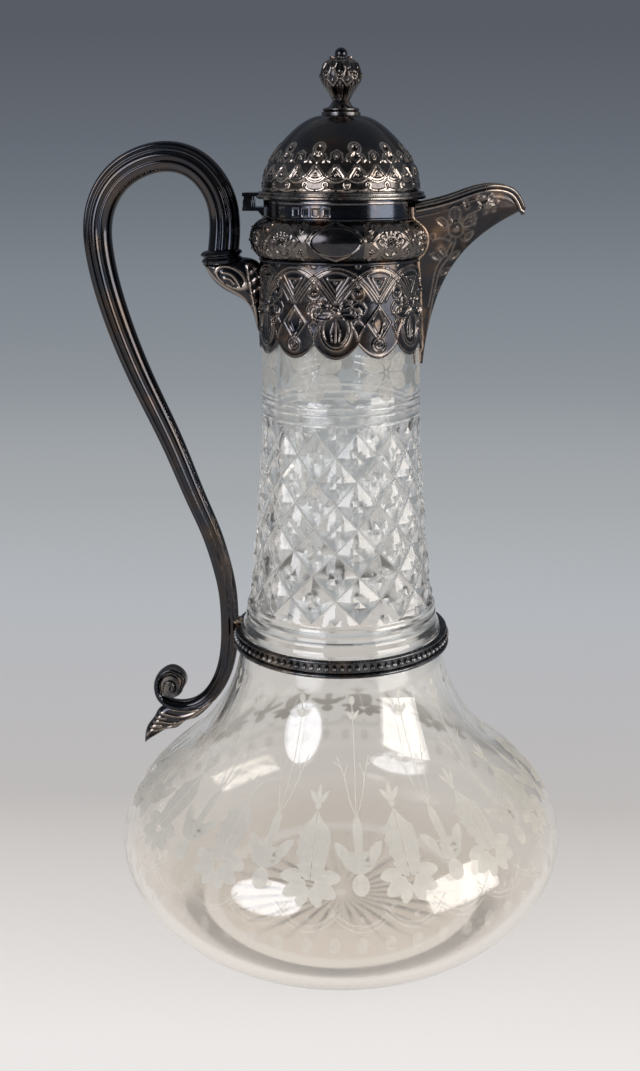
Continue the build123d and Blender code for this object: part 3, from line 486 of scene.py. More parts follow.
def near(x, y, path):
    """Distance from flat points to a line of straight runs."""
    path = np.asarray(path, float)
    best = np.full(len(x), 1e9)
    for (x0, y0), (x1, y1) in zip(path[:-1], path[1:]):
        length = max((x1 - x0) ** 2 + (y1 - y0) ** 2, 1e-9)
        t = np.clip(((x - x0) * (x1 - x0) + (y - y0) * (y1 - y0)) / length, 0, 1)
        best = np.minimum(best, np.hypot(x - x0 - t * (x1 - x0), y - y0 - t * (y1 - y0)))
    return best


def folded(value, period):
    """Distance along a repeat from its middle, signed."""
    return value - period * np.rint(value / period)


class Chasing:
    """Relief built up line by line on flat points: height in mm, and how far each point is rubbed bright."""

    def __init__(self, x, y):
        self.x, self.y = x, y
        self.raised, self.rubbed = np.zeros(len(x)), np.zeros(len(x))

    def crest(self, distance, lift=0.2, half=0.22, shine=0.6):
        """A rounded ridge where a distance is zero."""
        ridge = np.exp(-(distance / half) ** 2)
        self.raised += lift * ridge
        self.rubbed = np.maximum(self.rubbed, shine * ridge)

    def line(self, path, **looks):
        """A ridge along straight runs."""
        self.crest(near(self.x, self.y, path), **looks)

    def off(self, cx, cy, across, up, lean=0.0):
        """0 at an oval's centre and 1 on its edge."""
        dx, dy = self.x - cx, self.y - cy
        c, s = cos(radians(lean)), sin(radians(lean))
        return np.hypot((dx * c + dy * s) / across, (-dx * s + dy * c) / up)

    def ring(self, cx, cy, across, up=None, lean=0.0, **looks):
        """A ridge round an oval."""
        up = up or across
        self.crest((self.off(cx, cy, across, up, lean) - 1) * min(across, up), **looks)

    def dome(self, cx, cy, across, up=None, lean=0.0, lift=0.35, shine=0.6):
        """A rounded boss, or a bowl where the lift is negative."""
        bump = np.sqrt(np.clip(1 - self.off(cx, cy, across, up or across, lean) ** 2, 0, 1))
        self.raised += lift * bump
        if lift > 0:
            self.rubbed = np.maximum(self.rubbed, shine * bump ** 2)
        else:
            self.rubbed = self.rubbed * (1 - 0.6 * bump)

    def petal(self, cx, cy, across, up, lean=0.0):
        """A petal: sunk bowl, raised rim and a rib along its length."""
        self.dome(cx, cy, across, up, lean, lift=-0.3)
        self.ring(cx, cy, across, up, lean)
        c, s = cos(radians(lean)), sin(radians(lean))
        dx, dy = (0.75 * across * c, 0.75 * across * s) if across > up else (-0.75 * up * s, 0.75 * up * c)
        self.line([(cx - dx, cy - dy), (cx + dx, cy + dy)], lift=0.14, half=0.18, shine=0.4)


def together(parts):
    """Several chasings as one: their relief added up, and the brightest of their rubbing."""
    return sum(part.raised for part in parts), np.max([part.rubbed for part in parts], axis=0)


def scallop(angle):
    """How far the hem rises above the scallops' tips."""
    return SCALLOP_DEEP * (folded(angle, 360 / SCALLOPS) / (180 / SCALLOPS)) ** 2


def apron_relief(angle, height):
    """The apron's chasing at a bearing and a height."""
    mm = radians(1) * APRON_RADIUS
    work = Chasing(folded(angle, 60) * mm, height)
    arches = ((227.6, 10.3, 30.5, 0.2), (226.9, 9.6, 28.4, 0.15), (226.4, 8.7, 25.0, 0.2))
    for turned in (0, 30, -30, 60, -60):
        for top, drop, foot, lift in arches:
            xs = np.linspace(-foot, foot, 21)
            work.line(np.stack([(xs + turned) * mm, top - drop * (xs / foot) ** 2], axis=1), lift=lift)
    every = Chasing(folded(angle, 30) * mm, height)
    every.line([(-9 * mm, 224.9), (0, 218.8), (9 * mm, 224.9)])
    every.line([(-5.5 * mm, 224.3), (0, 220.7), (5.5 * mm, 224.3), (-5.5 * mm, 224.3)], lift=0.17)
    every.dome(0, 223.3, 0.5)
    across = np.linspace(-1, 1, 15)
    every.line(np.stack([15 * across * mm, 201.3 + 4.1 * across ** 2], axis=1), lift=0.11, shine=0.38)
    between = Chasing(folded(angle - 15, 30) * mm, height)
    between.ring(0, 220.0, 1.75)
    between.dome(0, 220.0, 0.95, lift=0.8, shine=0.4)
    for level, size in ((222.3, 0.42), (222.95, 0.34), (223.5, 0.26)):
        between.dome(0, level, size)
    between.ring(0, 228.3, 0.7, lift=0.14, half=0.19)
    side = Chasing(np.abs(folded(angle - 15, 30)) * mm, height)
    side.line([(0.4, 217.6), (1.5, 217.2), (2.4, 215.8), (1.9, 214.2), (0.7, 213.6), (0.3, 212.2),
               (1.2, 211.0)])
    side.line([(0.0, 216.0), (1.0, 214.9), (0.5, 213.0), (0.1, 211.4)], lift=0.15, half=0.18)
    side.line([(1.8, 210.4), (0.8, 208.6), (0.0, 206.4)], lift=0.18)
    lozenge = Chasing(folded(angle - 30, 60) * mm, height)
    lozenge.dome(0, 211.3, 2.0, 3.4, lift=-0.45)
    lozenge.line([(0, 216.3), (-9 * mm, 211.2), (0, 205.7), (9 * mm, 211.2), (0, 216.3)])
    lozenge.line([(0, 215.3), (-5 * mm, 211.4), (0, 207.2), (5 * mm, 211.4), (0, 215.3)], lift=0.22)
    lozenge.ring(0, 204.8, 2.1)
    lozenge.ring(0, 204.8, 1.15, lift=0.17, half=0.18)
    lozenge.dome(0, 204.8, 0.45)
    flower = Chasing(folded(angle, 60) * mm, height)
    for way in (-1, 1):
        flower.petal(way * 8.8 * mm, 214.2, 3.4, 1.9)
    flower.petal(0, 209.3, 3.8, 4.9)
    for way in (-1, 1):
        flower.petal(way * 7 * mm, 217.0, 1.7, 1.1, way * 35)
    flower.crest(np.where(height < 212, (flower.off(0, 209.4, 4.8, 6.0) - 1) * 4.8, FAR_OFF))
    for x in (-1.5, 1.5):
        flower.line([(0.7 * x, 206.0), (x, 208.6), (0.4 * x, 211.6)], lift=0.15, half=0.18)
    flower.ring(0, 214.9, 1.1, lift=0.15)
    flower.dome(0, 214.9, 0.6)
    raised, rubbed = together((work, every, between, side, lozenge, flower))
    patchy = np.clip(np.sin(angle * 0.21 + 1) * np.sin(angle * 0.083), 0, 1)
    worn_hem = HEM_RUB * np.clip((203.4 - height) / 1.6, 0, 1) * patchy
    return APRON_RELIEF * raised, np.maximum(APRON_RUB * rubbed, worn_hem)


def chased_sheet(name, line, wall, across, relief, hem=None, fade=2):
    """A turned sheet with chased relief outside and a plain inside, closed at its top and bottom."""
    inside = inset(line, wall)[::-1]
    inside = np.concatenate([inside[:-1:max(1, len(line) // 14)], inside[-1:]])
    outline = np.concatenate([line, inside, line[:1]])
    piece, share, row = lattice(name, across, len(outline))
    radius, height = outline[row, 0].copy(), outline[row, 1].copy()
    angle = bearing(share)
    if hem:
        low, high = line[:, 1].min(), line[:, 1].max()
        height += hem(angle) * (high - height) / (high - low)
    run = direction(line)
    outside = row < len(line)
    raised, rubbed = np.zeros(len(row)), np.zeros(len(row))
    raised[outside], rubbed[outside] = relief(angle[outside], height[outside])
    raised *= np.where(outside, np.clip(np.minimum(row, len(line) - 1 - row) / fade, 0, 1), 0)
    at = np.minimum(row, len(line) - 1)
    mark(piece, "rubbed", rubbed)
    put(piece, turn(radius + raised * run[at, 1], height - raised * run[at, 0], share))
    weld(piece, 60)
    return piece


# Sterling silver that has not been cleaned for years: blue-black and brown where the air reached it, cream
# and pinkish where hands have rubbed the raised lines, buff where it has worn through to the fire stain.
def silver(name, cold, warm, rough, buff=0.0, even=0.3):
    """Old silver: two tarnish colours in clouds, raised lines rubbed bright, and buff patches by a share.

    The more even it is, up to 1, the less its wear and its gloss break up in fine specks.
    """
    made, tree, shine = material(name, {"Metallic": 1.0})
    where = node(tree, "ShaderNodeTexCoord")
    clouds = node(tree, "ShaderNodeTexNoise", {"Scale": 70.0, "Detail": 5.0, "Roughness": 0.6},
                  {"Vector": (where, "Object")})
    fine = node(tree, "ShaderNodeTexNoise", {"Scale": 850.0, "Detail": 4.0, "Roughness": 0.7},
                {"Vector": (where, "Object")})
    base = node(tree, "ShaderNodeValToRGB", links={"Fac": (clouds, "Fac")},
                stops=[(0.36, cold), (0.52, "#38373a"), (0.68, warm)])
    patch = node(tree, "ShaderNodeTexNoise", {"Scale": 150.0, "Detail": 3.0}, {"Vector": (where, "Object")})
    bare = node(tree, "ShaderNodeMapRange", {"From Min": 0.56, "From Max": 0.7, "To Max": buff},
                {"Value": (patch, "Fac")})
    stained = node(tree, "ShaderNodeMix", {"data_type": "RGBA", 7: linear("#b08a62")},
                   {0: (bare, "Result"), 6: (base, "Color")})
    rub = node(tree, "ShaderNodeAttribute", {"attribute_name": "rubbed"})
    broken = node(tree, "ShaderNodeMapRange", {"From Min": 0.3, "From Max": 0.6, "To Min": even},
                  {"Value": (fine, "Fac")})
    worn = node(tree, "ShaderNodeMath", {"operation": "MULTIPLY", "use_clamp": True},
                {0: (rub, "Fac"), 1: (broken, "Result")})
    bright = node(tree, "ShaderNodeMix", {"data_type": "RGBA", 7: linear("#cfc0b3")},
                  {0: (worn, 0), 6: (stained, 2)})
    tree.links.new(bright.outputs[2], shine.inputs["Base Color"])
    dullest = rough + 0.14 * (1 - even)
    gloss = node(tree, "ShaderNodeMapRange",
                 {"From Min": 0.3, "From Max": 0.7, "To Min": rough, "To Max": dullest},
                 {"Value": (fine, "Fac")})
    tree.links.new(gloss.outputs["Result"], shine.inputs["Roughness"])
    grain = node(tree, "ShaderNodeBump", {"Strength": 0.07 * (1 - even), "Distance": 0.0001},
                 {"Height": (fine, "Fac")})
    tree.links.new(grain.outputs["Normal"], shine.inputs["Normal"])
    return made


chased = silver("sterling silver, chased", "#2a2d33", "#483f38", 0.13, 0.15)
apron_line = flowing([(25.8, SCALLOP_TIP), (25.5, 215.0), (APRON_TOP_RADIUS, APRON_TOP)], 0.27)
apron = chased_sheet("apron_chased", apron_line, SHEET, 720, apron_relief, hem=scallop)
finish(apron, chased, "jug", "collar_apron")

# ---------------------------------------------------------------- collar bulge and rim band
# Two more rings of sheet silver soldered above the apron: a chased bulge with a plain cartouche at front
# and back between fan-flower panels, and a plain band that carries the maker's and assay punches, left
# blank here. Both are open towards the spout under a hoop, for the wine to pour through.
BULGE_RADIUS, BULGE_TOP, BULGE_RUB = 28.1, 240.8, 0.5
BULGE_MIDDLE = (APRON_TOP + BULGE_TOP) / 2
SHOULDER_FROM, SHOULDER_RISE, SHOULDER_DRAW = 238.0, 2.8, 0.65
CARTOUCHE_END, CARTOUCHE_RELIEF = 17.8, 1.2
PANEL_FIRST, PANEL_PITCH = 35.6, 27.2
FIELD_RUB, GROUND_RUB = 0.2, 0.03
RIM_TOP, BAND_RADIUS = 246.4, 24.0
WINDOW_HALF, WINDOW_SILL, WINDOW_HOOP = 6.5, 2.0, 1.6
CUTTER_LONG, CUTTER_AT = 60, 31
PUNCHES = (-43.7, -30.8, -22.9, -14.8, -6.5)
PUNCH_LEVEL, PUNCH_HALF_WIDE, PUNCH_HALF_TALL, PUNCH_DEPTH = 243.4, 1.0, 1.15, 0.22


def bulge_relief(angle, height):
    """The bulge's chasing at a bearing and a height."""
    mm = radians(1) * BULGE_RADIUS
    quarter = 90 - np.abs(np.abs(angle) - 90)
    card = Chasing(quarter * mm, height)
    half = [(0, 241.0), (4 * mm, 239.9), (7.8 * mm, 239.2), (12.7 * mm, 238.5), (17.5 * mm, 235.4),
            (12.7 * mm, 232.6), (7.7 * mm, 230.9), (0, 229.6)]
    card.line(half, lift=0.26, half=0.25)
    card.crest((card.off(0, BULGE_MIDDLE, 15.2 * mm, 4.0) - 1) * 4.0, lift=0.15, half=0.18, shine=0.45)
    strap = Chasing(quarter * mm, height)
    sides = np.linspace(PANEL_FIRST - PANEL_PITCH / 2, 90 + PANEL_PITCH / 2, 45)
    for sign in (1, -1):
        for swing, lift in ((4.9, 0.22), (3.9, 0.15)):
            wave = BULGE_MIDDLE + sign * swing * np.sin(pi * (sides - sides[0]) / PANEL_PITCH)
            strap.line(np.stack([sides * mm, wave], axis=1), lift=lift)
    fan = Chasing(folded(quarter - PANEL_FIRST, PANEL_PITCH) * mm, height)
    for lean in (-70, -46, -23, 0, 23, 46, 70):
        way = radians(lean)
        fan.petal(2.6 * sin(way), 233.7 + 2.6 * cos(way), 0.75, 1.9, -lean)
    fan.ring(0, 233.4, 0.9)
    fan.dome(0, 233.4, 0.6)
    for lean in (-60, 60):
        fan.petal(1.6 * np.sign(lean), 232.2, 1.4, 0.7, lean / 2)
    between = Chasing(folded(quarter - PANEL_FIRST - PANEL_PITCH / 2, PANEL_PITCH) * mm, height)
    for level, way in ((238.4, 1), (232.0, -1)):
        for lean in (-55, 0, 55):
            turned = radians(lean)
            between.petal(1.15 * sin(turned), level + way * 1.15 * cos(turned), 0.6, 1.15, -way * lean)
        between.dome(0, level - 0.4 * way, 0.45)
    field = quarter > CARTOUCHE_END
    stipple = 0.05 * np.sin(angle * mm * 12.0) * np.sin(height * 12.0 + angle * mm * 5.0)
    raised, rubbed = together((strap, fan, between))
    raised = CARTOUCHE_RELIEF * card.raised + np.where(field, raised + stipple, 0)
    rubbed = BULGE_RUB * np.maximum(card.rubbed, np.where(field, rubbed, 0))
    return raised, np.maximum(rubbed, np.where(field, FIELD_RUB, GROUND_RUB))


def band_relief(angle, height):
    """Blank punch marks on the rim band, and the fine line along its upper edge."""
    mm = radians(1) * BAND_RADIUS
    marks = Chasing(angle * mm, height)
    for place in PUNCHES:
        off_side, off_level = np.abs(marks.x - place * mm), np.abs(height - PUNCH_LEVEL)
        edge = np.maximum(off_side / PUNCH_HALF_WIDE, off_level / PUNCH_HALF_TALL)
        marks.raised -= PUNCH_DEPTH * np.clip((1 - edge) / 0.12, 0, 1)
        marks.crest((edge - 1.08) * 1.1, lift=0.06, half=0.16, shine=0.2)
    marks.crest(height - 245.9, lift=0.08, half=0.18, shine=0.38)
    return marks.raised, marks.rubbed


def open_window(piece):
    """Cuts the arched pouring opening through a ring."""
    low, high = APRON_TOP + WINDOW_SILL, RIM_TOP - WINDOW_HOOP - WINDOW_HALF
    clear()
    bpy.ops.mesh.primitive_cylinder_add(vertices=48, radius=WINDOW_HALF * MM, depth=CUTTER_LONG * MM,
                                        rotation=(0, pi / 2, 0))
    cutter = named("window_cutter")
    bpy.ops.object.transform_apply(location=False, rotation=True, scale=True)
    spots = coords(cutter) / MM
    down = spots[:, 2] < -0.001
    spots[down, 2] = (low - high) * (1 - np.abs(spots[down, 1]) / WINDOW_HALF)
    spots += (CUTTER_AT, 0, high)
    put(cutter, spots * MM)
    pick(piece)
    cut = piece.modifiers.new("window", "BOOLEAN")
    cut.operation, cut.solver, cut.object = "DIFFERENCE", "EXACT", cutter
    bpy.ops.object.modifier_apply(modifier=cut.name)
    bpy.data.objects.remove(cutter)
    bpy.ops.object.shade_smooth_by_angle(angle=radians(60))


rise, bow = (BULGE_TOP - APRON_TOP) / 2, BULGE_RADIUS - APRON_TOP_RADIUS
arc_radius = (rise ** 2 + bow ** 2) / (2 * bow)
arc = np.linspace(-1, 1, 60) * np.arcsin(rise / arc_radius)
bulge_line = np.stack([BULGE_RADIUS - arc_radius + arc_radius * np.cos(arc),
                       BULGE_MIDDLE + arc_radius * np.sin(arc)], axis=1)
bulge_line[:, 0] -= np.clip((bulge_line[:, 1] - SHOULDER_FROM) / SHOULDER_RISE, 0, 1) * SHOULDER_DRAW
bulge = chased_sheet("bulge_chased", bulge_line, 1.0, 720, bulge_relief, fade=1)
open_window(bulge)
finish(bulge, chased, "jug", "collar_bulge")

plain = silver("sterling silver, planished", "#353a43", "#4c433b", 0.1, 0.12)
band_line = np.stack([np.full(25, BAND_RADIUS), np.linspace(BULGE_TOP, RIM_TOP, 25)], axis=1)
band = chased_sheet("rim_band", band_line, 1.0, 640, band_relief, fade=1)
open_window(band)
finish(band, plain, "jug", "collar_rim_band")

# ---------------------------------------------------------------- spout
# Beak of sheet silver folded round a keel, which runs down to a point below the apron. A leafy sprig with
# two flowers is chased on each cheek, a double wire is soldered round the lip, and solder fills the seam at
# the collar.
BEAK_TIP, BEAK_FOOT = (56.7, 243.9), 196.0
BEAK_BACK, BEAK_ROOT, BEAK_HALF, BEAK_CEILING = 22.0, 25.97, 10.0, 252.0
CHEEK_STEPS, BEAK_ROWS = 84, 150
KEEL_FADE, LIP_FADE, ROOT_FADE, SPOUT_RUB, LIP_RUB = 0.06, 0.03, 0.03, 0.42, 0.7
BIG_FLOWER, SMALL_FLOWER = (35.4, 237.8), (45.0, 245.2)
SOLDER_RADIUS = 0.75
LIP_LINE = [(23.0, 244.6), (33.4, 247.1), (46.2, 250.5), (52.6, 248.8), (55.8, 243.9)]
lip = flowing(LIP_LINE, 0.3)


def keel(height):
    """How far the keel reaches from the axis at a height."""
    share = (height - BEAK_FOOT) / (BEAK_TIP[1] - BEAK_FOOT)
    low = np.minimum(share, 1.0)
    curve = 0.13 * low + 0.37 * low ** 2 + 0.5 * low ** 5 + 0.2 * (share - low)
    return BEAK_ROOT + (BEAK_TIP[0] - BEAK_ROOT) * curve


def cheek(x, height):
    """Half-width of the beak at a distance from the axis and a height."""
    up = np.clip((height - BEAK_FOOT) / (BEAK_TIP[1] - BEAK_FOOT), 0, None)
    share = np.clip((x - BEAK_BACK) / (keel(height) - BEAK_BACK), 0, 1)
    return (0.8 + (BEAK_HALF - 0.8) * up ** 0.9) * (1 - share ** 2) ** 0.95


def collar_radius(height):
    """Outer radius of what the spout is soldered to."""
    stack = np.concatenate([[(25.1, BEAK_FOOT), (24.98, 200.4)], apron_line, bulge_line, band_line])
    return np.interp(height, stack[:, 1], stack[:, 0])


def cheek_root(height):
    """Distance from the axis at which the cheek meets the collar."""
    low, high = np.full_like(height, BEAK_BACK), keel(height)
    for _ in range(30):
        middle = (low + high) / 2
        inside = np.hypot(middle, cheek(middle, height)) < collar_radius(height) - 0.25
        low, high = np.where(inside, middle, low), np.where(inside, high, middle)
    return low


def spout_relief(x, z):
    """A flowering sprig along the cheek: a big rayed flower over its stem, and a small flower by the lip."""
    work = Chasing(x, z)
    cx, cz = BIG_FLOWER
    work.ring(cx, cz, 2.3)
    for lean in range(0, 360, 30):
        way = radians(lean)
        ray = [(cx + reach * sin(way), cz + reach * cos(way)) for reach in (2.2, 4.2)]
        work.line(ray, lift=0.17, half=0.19, shine=0.45)
    work.petal(34.9, 242.3, 1.7, 2.4, 0)
    work.petal(39.3, 240.0, 2.2, 1.2, 30)
    work.petal(31.3, 240.0, 2.0, 1.1, -35)
    work.dome(cx, cz, 1.2, lift=0.45)
    stem = [(35.2, 233.6), (33.6, 229.5), (31.2, 226.2), (29.8, 221.5), (28.4, 214.0), (27.4, 206.0)]
    work.line(flowing(stem, 1.5))
    stem = [(34.2, 233.9), (32.3, 230.0), (30.1, 227.0), (28.8, 222.0), (27.5, 214.0)]
    work.line(flowing(stem, 1.5), lift=0.15)
    work.line(flowing([(35.0, 233.4), (32.0, 235.0), (29.6, 235.2), (28.4, 234.3)], 1.0))
    work.ring(28.3, 235.9, 0.9)
    work.line(flowing([(37.6, 239.8), (39.4, 242.5), (41.8, 243.4), (43.4, 244.4)], 1.0))
    cx, cz = SMALL_FLOWER
    work.ring(cx, cz, 1.1)
    for lean in range(15, 375, 60):
        way = radians(lean)
        work.petal(cx + 1.9 * sin(way), cz + 1.9 * cos(way), 0.55, 1.0, -lean)
    work.dome(cx, cz, 0.6)
    for cx, cz, lean in ((31.6, 231.2, 40), (35.2, 229.8, -50), (29.4, 229.6, 60), (32.6, 224.9, -60),
                         (30.9, 219.2, -65), (40.6, 241.0, 10), (42.6, 246.2, 40), (38.2, 245.6, 20),
                         (39.4, 235.6, -40)):
        work.petal(cx, cz, 0.75, 1.7, lean)
    work.crest(z - np.interp(x, lip[:, 0], lip[:, 1]) + 3.2, lift=0.12, half=0.19, shine=0.38)
    return work.raised, work.rubbed


spout, share, row = lattice("spout_chased", 2 * CHEEK_STEPS, BEAK_ROWS)
side = np.rint(share * 2 * CHEEK_STEPS) / CHEEK_STEPS - 1
along, up = 1 - np.abs(side), row / (BEAK_ROWS - 1)
low, high = np.full(len(row), BEAK_FOOT), np.full(len(row), BEAK_CEILING)
for _ in range(30):
    middle = (low + high) / 2
    root = cheek_root(middle)
    below = np.interp(root + (keel(middle) - root) * along, lip[:, 0], lip[:, 1]) > middle
    low, high = np.where(below, middle, low), np.where(below, high, middle)
height = BEAK_FOOT + (low - BEAK_FOOT) * up
root = cheek_root(height)
x = root + (keel(height) - root) * along
surface = np.stack([x, np.sign(side) * cheek(x, height), height], axis=1).reshape(BEAK_ROWS, -1, 3)
facing = np.cross(np.gradient(surface, axis=1), np.gradient(surface, axis=0))
facing /= np.maximum(np.linalg.norm(facing, axis=2), 1e-9)[..., None]
raised, rubbed = spout_relief(x, height)
for inwards, fade in ((1 - along, KEEL_FADE), (1 - up, LIP_FADE), (along, ROOT_FADE)):
    raised *= np.clip(inwards / fade, 0, 1)
mark(spout, "rubbed", SPOUT_RUB * rubbed)
spots = surface.reshape(-1, 3) + facing.reshape(-1, 3) * raised[:, None]
spots[:, 0] = np.minimum(spots[:, 0], BEAK_TIP[0] - 0.05)
put(spout, spots * MM)
pick(spout)
gauge = spout.modifiers.new("gauge", "SOLIDIFY")
gauge.thickness, gauge.offset = SHEET * MM, -1.0
bpy.ops.object.modifier_apply(modifier=gauge.name)
weld(spout, 55)
dull = silver("sterling silver, dull with age", "#2a2a2c", "#453a33", 0.2, 0.2)
finish(spout, dull, "jug", "spout_shell")


def swept(name, path, out, sections, rubbed=None, sharp=40):
    """A closed bar along a path; each station's section holds (outward, sideways) points, in mm."""
    run = direction(path)
    across = np.cross(run, out)
    across /= np.linalg.norm(across, axis=1)[:, None]
    out = np.cross(across, run)
    stations, around = sections.shape[:2]
    piece, share, row = lattice(name, around, stations + 2)
    column = np.rint(share * around).astype(int) % around
    at = np.clip(row - 1, 0, stations - 1)
    open_row = ((row > 0) & (row < stations + 1))[:, None]
    spots = path[at] + open_row * (sections[at, column, :1] * out[at] + sections[at, column, 1:] * across[at])
    if rubbed is not None:
        mark(piece, "rubbed", rubbed[at, column])
    put(piece, spots * MM)
    weld(piece, sharp)
    return piece


def tapered(outline, scales):
    """The same section at every station, scaled."""
    return np.array(outline, float)[None] * np.asarray(scales, float)[:, None, None]


lip_side = np.stack([lip[:, 0], -cheek(lip[:, 0], lip[:, 1]), lip[:, 1]], axis=1)
lip_side = lip_side[np.hypot(lip_side[:, 0], lip_side[:, 1]) > BAND_RADIUS - 0.2]
lip_path = np.concatenate([lip_side, [(55.85, 0, 243.6)], lip_side[::-1] * (1, -1, 1)])
facing = np.cross(direction(lip_path), (0, 0, 1.0))
double_wire = [(-0.5, 1.7), (-0.55, 0.4), (-0.4, -0.5), (0.0, -0.88), (0.5, -0.8), (0.85, -0.4), (0.88, 0.0),
               (0.65, 0.4), (0.4, 0.6), (0.62, 0.8), (0.72, 1.15), (0.62, 1.5), (0.3, 1.75)]
rub = np.tile([0, 0, 0.2, 0.9, 0.9, 0.6, 0.2, 0, 0, 0.3, 0.7, 0.3, 0], (len(lip_path), 1))
wire_sections = tapered(double_wire, np.ones(len(lip_path)))
lip_wire = swept("spout_lip_wire", lip_path, facing, wire_sections, LIP_RUB * rub)
finish(lip_wire, plain, "jug", "spout_rim_wire")

# Silver solder holds more copper than the sheet, so it has gone a brownish pink, and it froze in lumps.
solder, tree, shine = material("silver solder, gone coppery", {"Metallic": 1.0, "Roughness": 0.34})
where = node(tree, "ShaderNodeTexCoord")
lumps = node(tree, "ShaderNodeTexNoise", {"Scale": 420.0, "Detail": 4.0}, {"Vector": (where, "Object")})
tint = node(tree, "ShaderNodeValToRGB", links={"Fac": (lumps, "Fac")},
            stops=[(0.3, "#4a403b"), (0.5, "#8d7b6c"), (0.7, "#bba697")])
tree.links.new(tint.outputs["Color"], shine.inputs["Base Color"])
pits = node(tree, "ShaderNodeBump", {"Strength": 0.4, "Distance": 0.0002}, {"Height": (lumps, "Fac")})
tree.links.new(pits.outputs["Normal"], shine.inputs["Normal"])


def round_section(radius, points=10):
    """A circle as section points."""
    angles = np.arange(points) * 2 * pi / points
    return np.stack([radius * np.cos(angles), radius * np.sin(angles)], axis=1)


near_side = surface[::-3, 0] + (0.1, -0.1, 0)
seam_path = np.concatenate([near_side, near_side[::-1] * (1, -1, 1)])
rng = np.random.default_rng(4)
lumpy = 0.75 + 0.25 * rng.random(len(seam_path))
seam_out = np.tile((1.0, 0, 0), (len(seam_path), 1))
seam = swept("spout_solder", seam_path, seam_out, tapered(round_section(SOLDER_RADIUS), lumpy))
finish(seam, solder, "jug")

# ---------------------------------------------------------------- lid
# Raised dome of sheet silver, soldered into a moulded flange. Its lower half is chased with keyholes over
# tents and festoons, and its crown is left plain. The lid hinges on the handle's side.
FLANGE_TOP, CROWN = 248.8, 271.1
DOME_LINE = [(24.3, FLANGE_TOP), (22.5, FLANGE_TOP + 8.0), (15.9, FLANGE_TOP + 16.8), (6.0, CROWN)]
DOME_RELIEF, DOME_RUB, DOME_HANDLED, PLAIN_FROM = 1.15, 1.6, 0.13, 263.6


def clamped(points, spacing, start, end):
    """A cubic curve through points that leaves and arrives in the given directions."""
    reach = 0.02
    first = np.array(points[0], float) + reach * np.array(start)
    last = np.array(points[-1], float) - reach * np.array(end)
    return flowing([points[0], tuple(first)] + points[1:-1] + [tuple(last), points[-1]], spacing)


def dome_relief(angle, height):
    """The dome's chasing at a bearing and a height."""
    mm = radians(1) * np.interp(height, dome_line[:, 1], dome_line[:, 0])
    key = Chasing(folded(angle - 15, 30) * mm, height)
    key.ring(0, 261.3, 1.8, 1.65)
    key.ring(0, 261.3, 1.15, 1.05, lift=0.17, half=0.18)
    key.dome(0, 261.3, 0.9, 0.8, lift=-0.3)
    key.line([(0, 260.6), (-1.9, 259.0), (0, 257.4), (1.9, 259.0), (0, 260.6)])
    key.dome(0, 259.0, 1.2, 1.0, lift=-0.35)
    mirrored = Chasing(np.abs(key.x), height)
    mirrored.line([(1.3, 260.0), (2.3, 259.5), (2.9, 258.5), (2.4, 257.7), (1.8, 258.1)], lift=0.17)
    arch = Chasing(folded(angle, 30) * mm, height)
    arch.line([(-1.8, 258.0), (-1.5, 259.9), (0, 260.8), (1.5, 259.9), (1.8, 258.0)])
    arch.ring(0, 259.2, 0.75, lift=0.17, half=0.18)
    arch.dome(0, 259.2, 0.4)
    tent = Chasing(folded(angle, 15) * mm, height)
    tent.line([(-2.45, 253.2), (0, 256.6), (2.45, 253.2)])
    tent.line([(-1.4, 253.6), (0, 255.4), (1.4, 253.6)], lift=0.15, half=0.18)
    tent.dome(0, 254.1, 0.42)
    tent.crest(height - 250.4 + 0.7 * (1 - (folded(angle, 15) / 7.5) ** 2), lift=0.17)
    tent.crest(height - 249.5, lift=0.12, half=0.18, shine=0.45)
    swag = Chasing(folded(angle, 15) * mm, height)
    for turned in (-15, 0, 15):
        for low, lift in ((252.0, 0.2), (252.8, 0.15)):
            xs = np.linspace(-13.5, 13.5, 13)
            dip = low + 4.8 * (xs / 15) ** 2
            swag.line(np.stack([(xs + turned) * radians(1) * 23.3, dip], axis=1), lift=lift)
    loop = Chasing(folded(angle - 7.5, 15) * mm, height)
    loop.ring(0, 251.2, 0.8, lift=0.17, half=0.18)
    loop.dome(0, 251.2, 0.35)
    loop.line([(-1.2, 257.6), (0, 258.2), (1.2, 257.6)], lift=0.15)
    raised, rubbed = together((key, mirrored, arch, tent, swag, loop))
    handled = DOME_HANDLED * np.clip((262.0 - height) / 4, 0, 1)
    return DOME_RELIEF * raised, np.maximum(DOME_RUB * rubbed, handled)


dome_line = clamped(DOME_LINE, 0.26, (0, 1), (-1, 0.08))
plain_crown = dome_line[:, 1] > PLAIN_FROM
dome_line = np.concatenate([dome_line[~plain_crown], dome_line[plain_crown][::4], dome_line[-1:]])
dome = chased_sheet("dome_chased", dome_line, SHEET, 720, dome_relief, fade=1)
finish(dome, chased, "lid", "lid_dome")


def turned_piece(name, outline, across=128, sharp=30):
    """A closed outline of (radius, height) points turned round the axis."""
    ring = np.array(list(outline) + [outline[0]], float)
    piece, share, row = lattice(name, across, len(ring))
    put(piece, turn(ring[row, 0], ring[row, 1], share))
    weld(piece, sharp)
    return piece


flange_line = [(22.05, 246.7), (25.4, 246.7), (25.9, 246.85), (26.15, 247.15), (26.15, 247.5), (25.9, 247.8),
               (25.55, 247.95), (25.5, 248.15), (25.7, 248.3), (25.7, 248.55), (25.45, FLANGE_TOP),
               (22.05, FLANGE_TOP)]
flange = turned_piece("flange_moulded", flange_line, 256, 35)
# Painted highlight: the flange and the finial's foot are tinted light grey all over, standing in for the
# bright highlight lines along their edges.
highlit_silver = silver("sterling silver, lightened as painted highlight", "#95918c", "#b5a596", 0.2, 0.2)
finish(flange, highlit_silver, "lid", "lid_flange")

